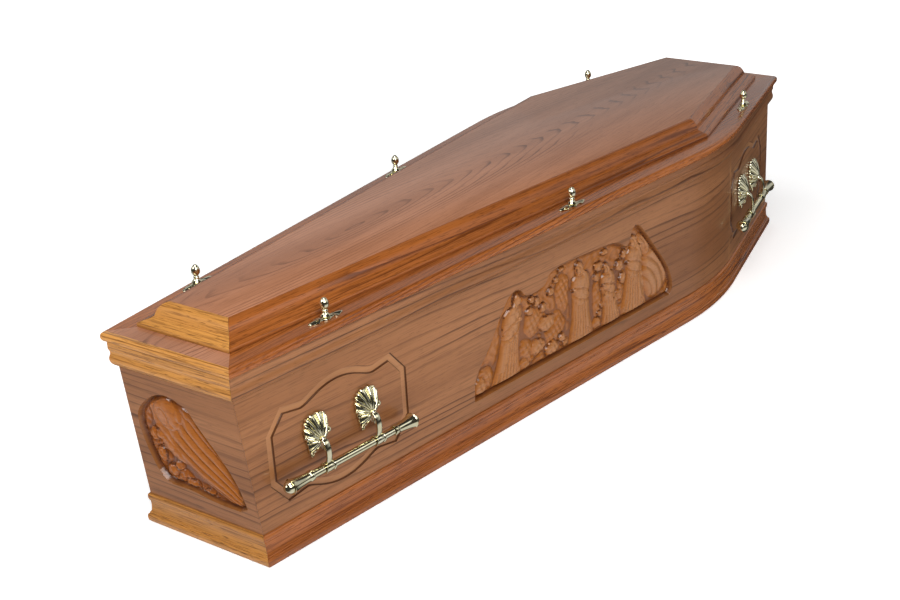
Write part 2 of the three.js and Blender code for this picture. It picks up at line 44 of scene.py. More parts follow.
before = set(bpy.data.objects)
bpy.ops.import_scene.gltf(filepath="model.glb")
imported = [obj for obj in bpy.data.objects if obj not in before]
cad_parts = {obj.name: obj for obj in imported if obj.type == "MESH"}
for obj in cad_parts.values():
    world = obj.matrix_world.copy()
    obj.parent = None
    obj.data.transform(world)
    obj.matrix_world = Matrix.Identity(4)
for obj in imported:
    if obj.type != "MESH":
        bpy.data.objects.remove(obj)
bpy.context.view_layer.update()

UP = Vector((0, 0, 1))
TOWARD_FAR = Vector((0, 1, 0))
LID_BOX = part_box("lid_board")
FLOOR_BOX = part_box("floor_board")


def size(name, description, default):
    return FloatProperty(
        name=name, description=description, default=default, min=0, unit="LENGTH", precision=5)


def colour(name, description, default):
    return FloatVectorProperty(
        name=name, description=description, default=default, min=0, max=1, subtype="COLOR", size=3)


class CoffinSizes(bpy.types.PropertyGroup):
    lid_length: size("Lid length", "Length of the lid board", LID_BOX[1].x - LID_BOX[0].x)
    foot_width: size("Foot width", "Width of the lid at the foot", 0.310)
    shoulder_width: size("Shoulder width", "Width where the lid's side lines would meet", 0.616)
    head_width: size("Head width", "Width of the lid at the head", 0.342)
    shoulder_from_foot: size("Shoulder from foot", "Distance of the shoulder from the foot", 1.456)
    clearance: size("Clearance", "Gap kept where pieces touch", 0.0003)
    box_height: size("Box height", "Height of the box's boards", 0.3825)
    wall: size("Wall", "Thickness of the box's boards", 0.020)
    shoulder_radius: size("Shoulder radius", "Bend of the side boards", 0.750)
    side_overhang: size("Side overhang", "How far the lid stands over the sides", 0.019)
    head_overhang: size("Head overhang", "How far the lid stands over the head board", 0.0175)
    foot_overhang: size("Foot overhang", "How far the lid stands over the foot board's top", 0.012)
    foot_rake: size("Foot rake", "How far the foot board slopes in over its height", 0.0425)
    base_height: size("Base height", "Height of the base moulding", 0.062)
    base_reach: size("Base reach", "How far the base moulding stands out", 0.0115)
    upper_height: size("Upper height", "Height of the upper moulding", 0.0465)
    upper_reach: size("Upper reach", "How far the upper moulding stands out", 0.011)
    lid_thickness: size("Lid thickness", "Thickness of the lid board", LID_BOX[1].z - LID_BOX[0].z)
    bullnose: size("Bullnose", "Rounding of the lid board's edge", 0.009)
    raised_inset: size("Raised inset", "Distance of the raised part from the lid's edge", 0.048)
    strip_width: size("Strip width", "Width of the raised strips in plan", 0.046)
    raised_height: size("Raised height", "Height of the raised part", 0.040)
    panel_thickness: size("Panel thickness", "Thickness of the top panel", 0.010)
    panel_ledge: size("Panel ledge", "Width of the ledge under the top panel", 0.010)
    bend_steps: IntProperty(name="Bend steps", description="Faces round the shoulder", default=28, min=4)


class CoffinFinish(bpy.types.PropertyGroup):
    side_veneer: colour("Side veneer", "Colour of the box's veneer", (0.255, 0.103, 0.038))
    lid_veneer: colour("Lid veneer", "Colour of the lid's veneer", (0.370, 0.160, 0.084))
    oak: colour("Oak", "Colour of the side mouldings", (0.315, 0.094, 0.019))
    pale_oak: colour("Pale oak", "Colour of the foot mouldings", (0.470, 0.205, 0.046))
    carved: colour("Carved wood", "Colour of the carvings", (0.320, 0.112, 0.024))
    brass: colour("Brass", "Colour of the handles and screws", (0.80, 0.77, 0.58))
    floor: colour("Floor", "Colour of the studio floor", (0.90, 0.90, 0.90))


def sizes():
    return bpy.context.scene.coffin_sizes


def finish():
    return bpy.context.scene.coffin_finish


class Run:
    """One straight length of the near side's plan, from the foot toward the head."""

    def __init__(self, start, end):
        self.start = start
        self.along = (end - start).normalized()
        self.out = Vector((self.along.y, -self.along.x, 0))

    def grain(self, point):
        """Distance along the run, outward offset and height of a point."""
        away = point - self.start
        return away.dot(self.along), away.dot(self.out), point.z

    def at_x(self, offset, x):
        start = self.start + self.out * offset
        return start + self.along * ((x - start.x) / self.along.x)


class Plan:
    """The lid's and the box's outlines, with stations that turn an offset and a height into a point."""

    def __init__(self):
        s = self.s = sizes()
        self.foot = -s.lid_length / 2
        self.head = s.lid_length / 2
        shoulder = Vector((self.foot + s.shoulder_from_foot, -s.shoulder_width / 2, 0))
        self.shoulder = shoulder
        self.foot_run = Run(Vector((self.foot, -s.foot_width / 2, 0)), shoulder)
        self.head_run = Run(shoulder, Vector((self.head, -s.head_width / 2, 0)))
        self.bisector = (self.foot_run.out + self.head_run.out).normalized()
        self.centre = self.corner(-s.side_overhang - s.shoulder_radius)
        self.turn = self.foot_run.out.angle(self.head_run.out)

    def corner(self, offset):
        return self.shoulder + self.bisector * (offset / self.bisector.dot(self.foot_run.out))

    def foot_board_x(self, height):
        s = self.s
        return self.foot + s.foot_overhang + s.foot_rake * (1 - height / s.box_height)

    def box_foot(self, offset, height):
        x = self.foot_board_x(height) - offset
        return self.foot_run.at_x(offset - self.s.side_overhang, x) + UP * height

    def plumb_foot(self, offset, height):
        x = self.foot_board_x(self.s.box_height - self.s.upper_height) - offset
        return self.foot_run.at_x(offset - self.s.side_overhang, x) + UP * height

    def box_head(self, offset, height):
        x = self.head - self.s.head_overhang + offset
        return self.head_run.at_x(offset - self.s.side_overhang, x) + UP * height

    def lid_foot(self, offset, height):
        return self.foot_run.at_x(offset, self.foot - offset) + UP * height

    def lid_head(self, offset, height):
        return self.head_run.at_x(offset, self.head + offset) + UP * height

    def lid_shoulder(self, offset, height):
        return self.corner(offset) + UP * height

    def grain(self, point):
        """Distance along the near side, outward offset and height of a point."""
        s = self.s
        face = self.foot_run.start - self.foot_run.out * s.side_overhang
        radius = s.shoulder_radius
        first = self.centre + self.foot_run.out * radius
        last = self.centre + self.head_run.out * radius
        before = (first - face).dot(self.foot_run.along)
        if (point - first).dot(self.foot_run.along) <= 0:
            away = point - face
            return away.dot(self.foot_run.along), away.dot(self.foot_run.out), point.z
        if (point - last).dot(self.head_run.along) >= 0:
            away = point - last
            done = before + radius * self.turn
            return done + away.dot(self.head_run.along), away.dot(self.head_run.out), point.z
        away = (point - self.centre).to_2d()
        angle = math.atan2(away.y, away.x) - math.atan2(self.foot_run.out.y, self.foot_run.out.x)
        return before + radius * angle, away.length - radius, point.z


def far(station):
    def on_far_side(offset, height):
        point = station(offset, height)
        return Vector((point.x, -point.y, point.z))
    return on_far_side


# Modelling by hand


def edit():
    bpy.ops.object.mode_set(mode="EDIT")


def leave_edit():
    bpy.ops.object.mode_set(mode="OBJECT")


def only(*pieces):
    bpy.ops.object.select_all(action="DESELECT")
    for piece in pieces:
        piece.select_set(True)
    bpy.context.view_layer.objects.active = pieces[0]


def start_point(name, place):
    """A new piece that is one vertex, selected in edit mode."""
    bpy.ops.object.select_all(action="DESELECT")
    bpy.ops.mesh.primitive_plane_add(size=0.01)
    piece = bpy.context.object
    piece.name = piece.data.name = name
    edit()
    bpy.ops.mesh.select_mode(type="VERT")
    bpy.ops.mesh.select_all(action="SELECT")
    bpy.ops.mesh.merge(type="CENTER")
    bpy.ops.transform.translate(value=place)
    return piece


def extrude(move):
    bpy.ops.mesh.extrude_region_move(TRANSFORM_OT_translate={"value": move})


def draw(name, points):
    """A closed outline, extruded from point to point and left selected in edit mode."""
    piece = start_point(name, points[0])
    for here, there in zip(points, [*points[1:], points[0]]):
        extrude(there - here)
    bpy.ops.mesh.select_all(action="SELECT")
    bpy.ops.mesh.remove_doubles(threshold=1e-6)
    bpy.ops.mesh.select_all(action="SELECT")
    return piece


def select_where(piece, test, kind="VERT"):
    """In edit mode, selects the vertices, edges or faces whose middle passes a test."""
    bpy.ops.mesh.select_mode(type=kind)
    bpy.ops.mesh.select_all(action="DESELECT")
    mesh = bmesh.from_edit_mesh(piece.data)
    found = {"VERT": mesh.verts, "EDGE": mesh.edges, "FACE": mesh.faces}[kind]
    for part in found:
        if kind == "VERT":
            part.select_set(test(part.co, part))
        elif kind == "EDGE":
            part.select_set(test((part.verts[0].co + part.verts[1].co) / 2, part))
        else:
            part.select_set(test(part.calc_center_median(), part))
    mesh.select_flush_mode()
    bmesh.update_edit_mesh(piece.data)


def saw(point, normal):
    """Cuts everything off beyond a plane and closes the cut."""
    bpy.ops.mesh.select_all(action="SELECT")
    bpy.ops.mesh.bisect(plane_co=point, plane_no=normal, use_fill=True, clear_outer=True)


def saw_mitre(station, away):
    """Saws along the plane of a station, drawn back a little from its neighbour."""
    origin = station(0, 0) - away.normalized() * sizes().clearance / math.sqrt(2)
    across = station(0.1, 0) - station(0, 0)
    rising = station(0, 0.1) - station(0, 0)
    normal = across.cross(rising).normalized()
    if normal.dot(away) < 0:
        normal = -normal
    saw(origin, normal)


def face_outward(piece):
    """Turns the faces outward, by the sign of the volume."""
    mesh = bmesh.new()
    mesh.from_mesh(piece.data)
    if mesh.calc_volume(signed=True) < 0:
        bmesh.ops.reverse_faces(mesh, faces=mesh.faces)
        mesh.to_mesh(piece.data)
    mesh.free()


def close_up(piece, angle=35):
    """Leaves edit mode with clean outward faces and smooth shading."""
    bpy.ops.mesh.select_all(action="SELECT")
    bpy.ops.mesh.remove_doubles(threshold=2e-6)
    bpy.ops.mesh.normals_make_consistent(inside=False)
    leave_edit()
    face_outward(piece)
    only(piece)
    bpy.ops.object.shade_smooth_by_angle(angle=math.radians(angle))
    return piece


def placed(piece, name, placement):
    """A copy with its own mesh, put where a placement says."""
    copy = piece.copy()
    copy.data = piece.data.copy()
    copy.name = copy.data.name = name
    bpy.context.collection.objects.link(copy)
    copy.data.transform(placement)
    return copy


def mirrored(piece, name, across=TOWARD_FAR):
    """A mirror image with its own mesh, on the far side unless told otherwise."""
    copy = placed(piece, name, Matrix.Scale(-1, 4, across))
    copy.data.flip_normals()
    return copy


def set_grain(piece, rule):
    """Stores where each vertex lies in its stick of wood: along the grain, across it and up."""
    mesh = piece.data
    places = [rule(vertex.co) for vertex in mesh.vertices]
    flat = np.array(places, dtype=np.float32)
    old = mesh.attributes.get("grain")
    layer = old or mesh.attributes.new("grain", "FLOAT_VECTOR", "POINT")
    layer.data.foreach_set("vector", flat.ravel())


def shift_grain(piece, shift):
    """Moves a copy's grain along, so that no two sticks look alike."""
    layer = piece.data.attributes["grain"]
    flat = np.empty(len(layer.data) * 3, dtype=np.float32)
    layer.data.foreach_get("vector", flat)
    places = flat.reshape(-1, 3) + np.array((shift * 3.1, 0, shift * 1.7), dtype=np.float32)
    layer.data.foreach_set("vector", places.ravel())


def hand_over(piece, node, slot, *materials):
    """Gives a finished piece its materials and its body, and hides the node that it stands for."""
    piece.data.materials.clear()
    for material in materials:
        piece.data.materials.append(material)
    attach(piece, "root")
    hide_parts(node)


def flowing(points, steps=5):
    """A smooth curve through points."""
    result = []
    padded = [points[0] * 2 - points[1], *points, points[-1] * 2 - points[-2]]
    for a, b, c, d in zip(padded, padded[1:], padded[2:], padded[3:]):
        for step in range(steps):
            t = step / steps
            result.append(0.5 * (
                2 * b + (c - a) * t + (2 * a - 5 * b + 4 * c - d) * t ** 2
                + (3 * b - a - 3 * c + d) * t ** 3))
    return [*result, points[-1]]


def shaped(rows, reach, height, bottom=0.0):
    """Turns shares of a moulding's reach and height into an outline; rows hold one curve or corner each."""
    s = sizes()
    result = []
    for row in rows:
        curve = [Vector((s.clearance + (reach - s.clearance) * out, bottom + height * up)) for out, up in row]
        result += flowing(curve) if len(curve) > 2 else curve
    clean = [result[0]]
    for point in result[1:]:
        if (point - clean[-1]).length > 1e-5:
            clean.append(point)
    return clean


# The outlines of the mouldings, as shares of reach and height; each row is a curve or a flat
UPPER_ROWS = (
    ((0.98, 1.0), (0.98, 0.72)),
    ((0.96, 0.70), (0.86, 0.66), (0.78, 0.58), (0.80, 0.50), (0.86, 0.45)),
    ((0.90, 0.42), (0.97, 0.37), (1.0, 0.29), (0.96, 0.21), (0.80, 0.12), (0.50, 0.035), (0.2, 0.0)),
    ((0.0, 0.0), (0.0, 1.0)),
)
BASE_ROWS = (
    ((0.0, 1.0), (0.06, 1.0)),
    ((0.22, 0.99), (0.37, 0.945), (0.42, 0.87), (0.37, 0.79), (0.25, 0.75)),
    ((0.22, 0.735), (0.20, 0.64), (0.23, 0.53), (0.33, 0.41), (0.45, 0.345)),
    ((0.60, 0.335), (0.62, 0.30)),
    ((0.66, 0.285), (0.86, 0.265), (0.98, 0.205), (1.0, 0.14), (0.95, 0.055), (0.74, 0.0)),
    ((0.0, 0.0),),
)
STRIP_ROWS = (
    ((1.0, 1.0), (0.9, 0.975), (0.80, 0.92), (0.70, 0.82), (0.62, 0.69), (0.56, 0.54), (0.53, 0.42)),
    ((0.49, 0.385), (0.465, 0.38), (0.445, 0.365)),
    ((0.42, 0.34), (0.32, 0.30), (0.2, 0.26), (0.1, 0.225), (0.03, 0.18), (0.0, 0.10), (0.01, 0.0)),
)


def upper_outline():
    s = sizes()
    return shaped(UPPER_ROWS, s.upper_reach, s.upper_height, s.box_height - s.upper_height)


def base_outline():
    return shaped(BASE_ROWS, sizes().base_reach, sizes().base_height)


def strip_outline():
    s = sizes()
    bottom = s.box_height + s.lid_thickness + 2 * s.clearance
    top = bottom + s.raised_height
    ledge = top - s.panel_thickness - s.clearance
    inner = -s.raised_inset - s.strip_width
    face = []
    for row in STRIP_ROWS:
        face += flowing([
            Vector((-s.raised_inset - s.strip_width * out, bottom + s.raised_height * up))
            for out, up in row])
    return [
        *face,
        Vector((inner - s.panel_ledge, bottom)),
        Vector((inner - s.panel_ledge, ledge)),
        Vector((inner, ledge)),
    ]


SPARE = 0.03


def side_member(name, outline, foot_station):
    """A near-side stick: run out along the foot run, turned round the shoulder, run out and mitred."""
    s = sizes()
    plan = Plan()
    face = plan.foot_run.at_x(-s.side_overhang, plan.foot - SPARE)
    section = [face + plan.foot_run.out * point.x + UP * point.y for point in outline]
    bend_start = plan.centre + plan.foot_run.out * s.shoulder_radius
    bend_end = plan.centre + plan.head_run.out * s.shoulder_radius
    piece = draw(name, section)
    extrude(plan.foot_run.along * (bend_start - face).length)
    bpy.ops.mesh.spin(steps=s.bend_steps, angle=-plan.turn, center=plan.centre, axis=UP)
    past_head = plan.head_run.at_x(-s.side_overhang, plan.head + SPARE)
    extrude(plan.head_run.along * (past_head - bend_end).length)
    saw_mitre(foot_station, -plan.foot_run.along)
    saw_mitre(plan.box_head, plan.head_run.along)
    close_up(piece)
    set_grain(piece, plan.grain)
    return piece


def across_grain(point):
    return point.y, point.x, point.z


def along_grain(point):
    return point.x, point.y, point.z


def straight_member(name, outline, start, end, grain=across_grain):
    """A stick between two stations, mitred at both."""
    section = [start(point.x, point.y) for point in outline]
    along = end(0, 0) - start(0, 0)
    direction = along.normalized()
    flat = [point - direction * ((point - start(0, 0)).dot(direction) + SPARE * 4) for point in section]
    piece = draw(name, flat)
    extrude(direction * (along.length + SPARE * 8))
    saw_mitre(start, -direction)
    saw_mitre(end, direction)
    close_up(piece)
    set_grain(piece, grain)
    return piece


# Boards


def board_outline():
    s = sizes()
    return [Vector(corner) for corner in (
        (0, s.box_height), (-s.wall, s.box_height), (-s.wall, 0), (0, 0))]


FRAME_HALF_WIDTH = 0.157
FRAME_CORNER_RISE = 0.043
FRAME_NOTCH = (0.129, 0.076)
FRAME_DIP = (0.090, 0.070)
FRAME_CROWN_RISE = 0.093
GROOVE_WIDTH = 0.015
GROOVE_DEPTH = 0.004
GROOVE_EASE = 0.003
FRAME_PLACES = {"foot": -0.752, "head": 0.742}
FRAME_HEIGHT = 0.192
ARCH_STEPS = 14


def frame_loop():
    """The inner edge of a handle's frame: upright ends, notched corners, crowned top and bottom."""
    arch = []
    for step in range(ARCH_STEPS + 1):
        t = step / ARCH_STEPS
        weights = ((1 - t) ** 3, 3 * t * (1 - t) ** 2, 3 * t * t * (1 - t), t ** 3)
        stops = (
            FRAME_DIP, (FRAME_DIP[0] * 0.75, FRAME_DIP[1]),
            (FRAME_DIP[0] * 0.5, FRAME_CROWN_RISE), (0, FRAME_CROWN_RISE))
        arch.append(Vector((sum(w * p[0] for w, p in zip(weights, stops)),
                            sum(w * p[1] for w, p in zip(weights, stops)), 0)))
    quarter = [Vector((FRAME_HALF_WIDTH, FRAME_CORNER_RISE, 0)), Vector((*FRAME_NOTCH, 0)), *arch]
    top = [*quarter, *[Vector((-p.x, p.y, 0)) for p in quarter[-2::-1]]]
    return [*top, *[-p for p in top]]


def spread(points, distance):
    """A closed outline moved out by a distance, with mitred corners."""
    result = []
    for before, here, after in zip([points[-1], *points[:-1]], points, [*points[1:], points[0]]):
        first = (here - before).normalized().cross(UP)
        second = (after - here).normalized().cross(UP)
        lean = (first + second).normalized()
        result.append(here + lean * (distance / lean.dot(first)))
    return result


def face_matrix(origin, outward, up=UP):
    """A frame on a face: X along it, Y up it and Z out of it."""
    return Matrix.Translation(origin) @ Matrix((up.cross(outward), up, outward)).transposed().to_4x4()


def run_matrix(run, x, height):
    return face_matrix(run.at_x(-sizes().side_overhang, x) + UP * height, run.out)


def foot_matrix(height):
    plan = Plan()
    s = sizes()
    up = Vector((plan.foot_board_x(s.box_height) - plan.foot_board_x(0), 0, s.box_height)).normalized()
    return face_matrix(Vector((plan.foot_board_x(height), 0, height)), Vector((-up.z, 0, up.x)), up)


def groove_cutter(placement):
    """A ring that routs a handle's frame, with its bottom edges eased."""
    cutter = draw("groove_cutter", spread(frame_loop(), GROOVE_WIDTH))
    bpy.ops.mesh.edge_face_add()
    bpy.ops.mesh.inset(thickness=GROOVE_WIDTH)
    select_where(cutter, lambda place, face: len(face.verts) > 8, "FACE")
    bpy.ops.mesh.delete(type="FACE")
    bpy.ops.mesh.select_all(action="SELECT")
    extrude(UP * 2 * GROOVE_DEPTH)
    bpy.ops.mesh.select_all(action="SELECT")
    bpy.ops.mesh.normals_make_consistent(inside=False)
    select_where(cutter, lambda place, edge: place.z < 1e-5 and edge.calc_face_angle(0) > 1, "EDGE")
    bpy.ops.mesh.bevel(offset=GROOVE_EASE, segments=4, profile=0.5, affect="EDGES")
    leave_edit()
    cutter.data.transform(placement @ Matrix.Translation((0, 0, -GROOVE_DEPTH)))
    return cutter


def combine(piece, other, operation):
    """Changes a piece by another closed piece and throws the other away."""
    only(piece)
    modifier = piece.modifiers.new("combine", "BOOLEAN")
    modifier.operation = operation
    modifier.solver = "EXACT"
    modifier.object = other
    bpy.ops.object.modifier_apply(modifier=modifier.name)
    bpy.data.objects.remove(other)


def cut(piece, cutter):
    combine(piece, cutter, "DIFFERENCE")


# Carvings, in metres on the face: X along it and Y up it, from the pocket's own corner


CARVING_DEPTH = 0.011
CARVING_EDGE = 0.005
SIDE_CARVING_FROM_FOOT = 0.601
SIDE_CARVING_HEIGHT = 0.090
FOOT_CARVING_HEIGHT = 0.096
SIDE_CARVING_PITCH = 1.6
FOOT_CARVING_PITCH = 1.3
CUTTER_RISE = 0.02
CUT_HEIGHTS = (-0.013, -0.0001)
CARVED_SLOPE = 0.50
MILLIMETRE = 0.001
SIDE_CARVING_OUTLINE = (
    (664, 0), (673, 24), (655, 72), (600, 144), (548, 203), (524, 199), (505, 168), (455, 191), (310, 199),
    (246, 194), (222, 172), (170, 170), (148, 190), (118, 188), (84, 150), (50, 100), (8, 52), (0, 0),
)
FOOT_CARVING_OUTLINE = (
    (116, 12), (103, 58), (77, 104), (33, 162), (10, 193), (-40, 205), (-88, 182), (-121, 138), (-110, 60),
    (-82, 12), (-23, 9), (43, 1), (96, 1),
)


class Relief:
    """A carved scene on a grid of places, in millimetres; a form shows where it rises highest."""

    def __init__(self, x, y):
        self.x = x
        self.y = y
        chisel = np.sin(x / 4.3 + 1.7 * np.sin(y / 11.0)) * np.sin(y / 5.1 + 1.3 * np.sin(x / 13.0))
        self.rise = 3.0 + 0.8 * chisel + 0.6 * np.sin(x / 31.0 + y / 17.0)

    def lay(self, rise):
        self.rise = np.maximum(self.rise, rise)

    def oval(self, x, y, half_width, half_height, lean=0.0):
        """0 in the middle of an oval and 1 at its edge."""
        away_x, away_y = self.x - x, self.y - y
        cosine, sine = math.cos(lean), math.sin(lean)
        return np.hypot(
            (away_x * cosine + away_y * sine) / half_width, (away_y * cosine - away_x * sine) / half_height)

    def cushion(self, share, rise, fullness=2.0):
        return rise * np.sqrt(np.clip(1 - share ** fullness, 0, 1))

    def trench(self, share, reach, depth):
        """Sinks what stands just round a form, so that the form stands apart."""
        ring = np.clip((share - 0.85) / 0.15, 0, 1) * np.clip((reach - share) / (reach - 1), 0, 1)
        self.rise = np.maximum(self.rise - depth * ring, 0.3)

    def rock(self, x, y, across, up, rise):
        facets = (
            np.abs(np.sin(self.x * 0.23 + self.y * 0.11 + x))
            + np.abs(np.sin(self.y * 0.21 - self.x * 0.08 + y)))
        turn = np.arctan2(self.y - y, self.x - x)
        edge = 1 + 0.07 * np.sin(3 * turn + x) + 0.04 * np.sin(7 * turn + y)
        share = self.oval(x, y, across / 2, up / 2) * edge
        self.trench(share, 1.4, 3.0)
        self.lay(self.cushion(share, rise - 1.8 + 1.3 * facets, 3.0))

    def mourner(self, x, lean, height, hem, chest, facing, folds=3):
        """A standing robed figure: pleated robe, cape, folded arms and a hooded, featureless head."""
        share = self.y / height
        middle = x + lean * share
        half = np.interp(
            share, (0, 0.06, 0.30, 0.52, 0.66, 0.76, 0.81, 0.84),
            (hem * 0.56, hem * 0.50, hem * 0.36, chest * 0.46, chest * 0.52, chest * 0.47, chest * 0.34, 4))
        out = (self.x - middle) / half
        tall = share < 0.84
        inside = tall & (np.abs(out) < 1)
        self.trench(np.where(tall, np.abs(out), 9), 1.5, 5.0)
        body = np.sqrt(np.clip(1 - np.abs(out) ** 2.4, 0, 1))
        sway = 0.3 * facing + 0.20 * np.sin(4 * share) + 0.05 * np.sin(17 * share)
        pleats = np.abs(np.sin(math.pi * (folds * out + sway))) ** 0.55
        skirt = np.clip((0.58 - share) / 0.08, 0, 1)
        self.lay(np.where(inside, body * (8.8 - skirt * 4.2 * (1 - pleats)), 0))
        drape = np.abs(np.sin(math.pi * (1.3 * out * facing + 5.2 * share))) ** 0.6
        cape = inside & (share > 0.46) & (out * facing < 0.50 - 0.6 * (share - 0.6))
        self.lay(np.where(cape, body * (7.6 + 2.1 * drape), 0))
        fall = inside & (out * facing < -0.35) & (share > 0.16)
        tail = np.abs(np.sin(math.pi * (2.4 * out + 1.1 * share))) ** 0.6
        self.lay(np.where(fall, body * (7.8 + 1.9 * tail), 0))
        elbow = x + lean * 0.58 - facing * 0.01 * height
        sleeve = self.oval(elbow, 0.575 * height, 0.16 * height, 0.058 * height, 0.42 * facing)
        self.trench(sleeve, 1.45, 2.6)
        self.lay(self.cushion(sleeve, 10.0 - 0.9 * np.abs(np.sin(self.x / 3.6 + self.y / 6.0))))
        hands = self.oval(elbow + facing * 0.135 * height, 0.655 * height, 0.036 * height, 0.030 * height)
        self.lay(self.cushion(hands, 10.2))
        top = x + lean * 0.90 + facing * 0.035 * height
        hood = self.oval(top, 0.880 * height, 0.066 * height, 0.088 * height, -0.25 * facing)
        self.trench(hood, 1.45, 4.2)
        self.lay(self.cushion(hood, 10.3, 2.6))
        veil = self.oval(
            top - facing * 0.075 * height, 0.795 * height, 0.035 * height, 0.115 * height, -0.5 * facing)
        self.lay(self.cushion(veil, 9.6, 2.4))
        front = top + facing * 0.022 * height
        tilt = -0.25 * facing
        opening = self.oval(front, 0.870 * height, 0.043 * height, 0.064 * height, tilt)
        hollow = np.clip(1 - opening ** 3, 0, 1) * 4.6
        face = self.cushion(self.oval(front, 0.868 * height, 0.031 * height, 0.050 * height, tilt), 4.2)
        self.rise = self.rise - np.where(opening < 1, hollow - face, 0)

    def billow(self, x, y, half_width, half_height, rise, ripples):
        """A cloak blown out to one side, in arcs round its lower corner."""
        share = self.oval(x, y, half_width, half_height, 0.35)
        arcs = np.hypot(self.x - x + half_width, self.y - y + half_height * 0.9) / half_width
        ridges = np.abs(np.sin(math.pi * ripples * arcs)) ** 0.6
        self.trench(share, 1.25, 3.0)
        self.lay(self.cushion(share, rise - 4.0 * (1 - ridges), 3.0))

    def bowed(self, crown, trail, half_width, folds):
        """A kneeling figure bowed to one side, whose cloak runs out in long folds to a point."""
        run = np.array(trail, dtype=float) - np.array(crown, dtype=float)
        length = np.linalg.norm(run)
        run /= length
        along = ((self.x - crown[0]) * run[0] + (self.y - crown[1]) * run[1]) / length
        side = (self.x - crown[0]) * -run[1] + (self.y - crown[1]) * run[0]
        half = half_width * np.interp(
            along, (-0.24, -0.10, 0.15, 0.5, 0.8, 1.0), (0.05, 0.62, 1.0, 0.86, 0.50, 0.04))
        out = side / half
        inside = (along > -0.24) & (along < 1) & (np.abs(out) < 1)
        body = np.sqrt(np.clip(1 - np.abs(out) ** 2.8, 0, 1))
        sway = out + 0.16 * np.sin(4.5 * along)
        ridges = np.abs(np.sin(math.pi * folds * sway)) ** 0.55
        deep = np.clip((along - 0.02) / 0.15, 0, 1)
        self.trench(np.where((along > -0.2) & (along < 1), np.abs(out), 9), 1.35, 5.0)
        self.lay(np.where(inside, body * (9.6 - 4.8 * deep * (1 - ridges)), 0))
        sleeve = self.oval(crown[0] - 4, crown[1] - 62, 40, 17, -0.75)
        self.lay(self.cushion(sleeve, 9.9 - 0.8 * np.abs(np.sin(self.x / 5.0 - self.y / 9.0)), 2.4))
        self.lay(self.cushion(self.oval(crown[0] - 30, crown[1] - 40, 13, 11, 0.5), 10.0))
        hood = self.oval(crown[0] + 2, crown[1] + 12, 33, 34, 0.4)
        self.trench(hood, 1.35, 3.0)
        self.lay(self.cushion(hood, 10.3, 2.6))
        opening = self.oval(crown[0] - 12, crown[1] + 4, 16, 20, 0.3)
        face = self.cushion(self.oval(crown[0] - 12, crown[1] + 4, 12.5, 16.5, 0.3), 2.8)
        self.rise = self.rise - np.where(opening < 1, np.clip(1 - opening ** 3, 0, 1) * 3.4 - face, 0)


def side_scene(x, y):
    relief = Relief(x, y)
    for rock in (
            (292, 130, 46, 96, 4.5), (262, 60, 70, 90, 4.0), (420, 70, 60, 120, 4.5), (500, 60, 50, 110, 5.0),
            (168, 40, 70, 66, 5.5), (44, 28, 62, 56, 6.5), (26, 20, 36, 40, 8.0), (200, 100, 70, 62, 6.0),
            (236, 84, 54, 34, 9.5), (226, 122, 22, 20, 9.0), (206, 142, 20, 22, 9.0), (184, 128, 22, 18, 8.0),
            (190, 152, 18, 16, 8.5), (252, 148, 20, 18, 8.5), (270, 168, 18, 14, 8.0),
            (288, 186, 24, 12, 7.5),
            (206, 42, 46, 34, 8.5), (252, 22, 44, 30, 8.5), (284, 34, 22, 20, 9.0), (298, 18, 26, 18, 8.0),
            (158, 18, 40, 26, 8.0), (402, 22, 44, 26, 7.5), (428, 96, 18, 16, 8.5), (436, 76, 16, 18, 8.8),
            (424, 58, 18, 16, 8.4), (412, 42, 16, 14, 8.0), (486, 24, 44, 28, 8.5), (478, 60, 26, 26, 8.8),
            (498, 96, 24, 30, 8.6), (484, 128, 26, 26, 9.2), (502, 150, 22, 22, 9.0), (412, 150, 30, 22, 8.2),
            (404, 128, 20, 20, 8.6), (434, 176, 24, 14, 7.5)):
        relief.rock(*rock)
    relief.billow(604, 84, 66, 74, 9.8, 3)
    relief.billow(566, 150, 46, 30, 9.4, 3)
    relief.mourner(536, 6, 190, 96, 58, -1, 4)
    relief.mourner(456, -14, 156, 66, 48, -1)
    relief.mourner(350, 4, 190, 84, 60, -1, 4)
    relief.mourner(104, 40, 190, 88, 58, 1, 4)
    return relief.rise


def foot_scene(x, y):
    relief = Relief(x, y)
    for rock in (
            (-84, 70, 46, 110, 4.5), (-50, 30, 70, 46, 5.0), (-86, 66, 24, 34, 8.5), (-66, 36, 28, 26, 8.5),
            (-22, 18, 34, 22, 7.5), (-94, 106, 22, 30, 8.0), (-78, 128, 18, 20, 8.2), (-46, 52, 24, 20, 8.2),
            (-68, 86, 20, 20, 8.6), (-64, 106, 14, 16, 8.6), (20, 14, 26, 14, 7.5)):
        relief.rock(*rock)
    relief.bowed((-46, 150), (124, 2), 62, 2.6)
    return relief.rise


def inside_depth(outline, x, y):
    """How far each place lies inside a closed outline, negative outside it."""
    nearest = np.full(x.shape, np.inf)
    within = np.zeros(x.shape, dtype=bool)
    for start, end in zip(outline, [*outline[1:], outline[0]]):
        run_x, run_y = end.x - start.x, end.y - start.y
        share = ((x - start.x) * run_x + (y - start.y) * run_y) / (run_x ** 2 + run_y ** 2)
        share = np.clip(share, 0, 1)
        nearest = np.minimum(nearest, np.hypot(x - start.x - share * run_x, y - start.y - share * run_y))
        crosses = (start.y > y) != (end.y > y)
        with np.errstate(divide="ignore", invalid="ignore"):
            within ^= crosses & (x < start.x + (y - start.y) * run_x / run_y)
    return np.where(within, nearest, -nearest)


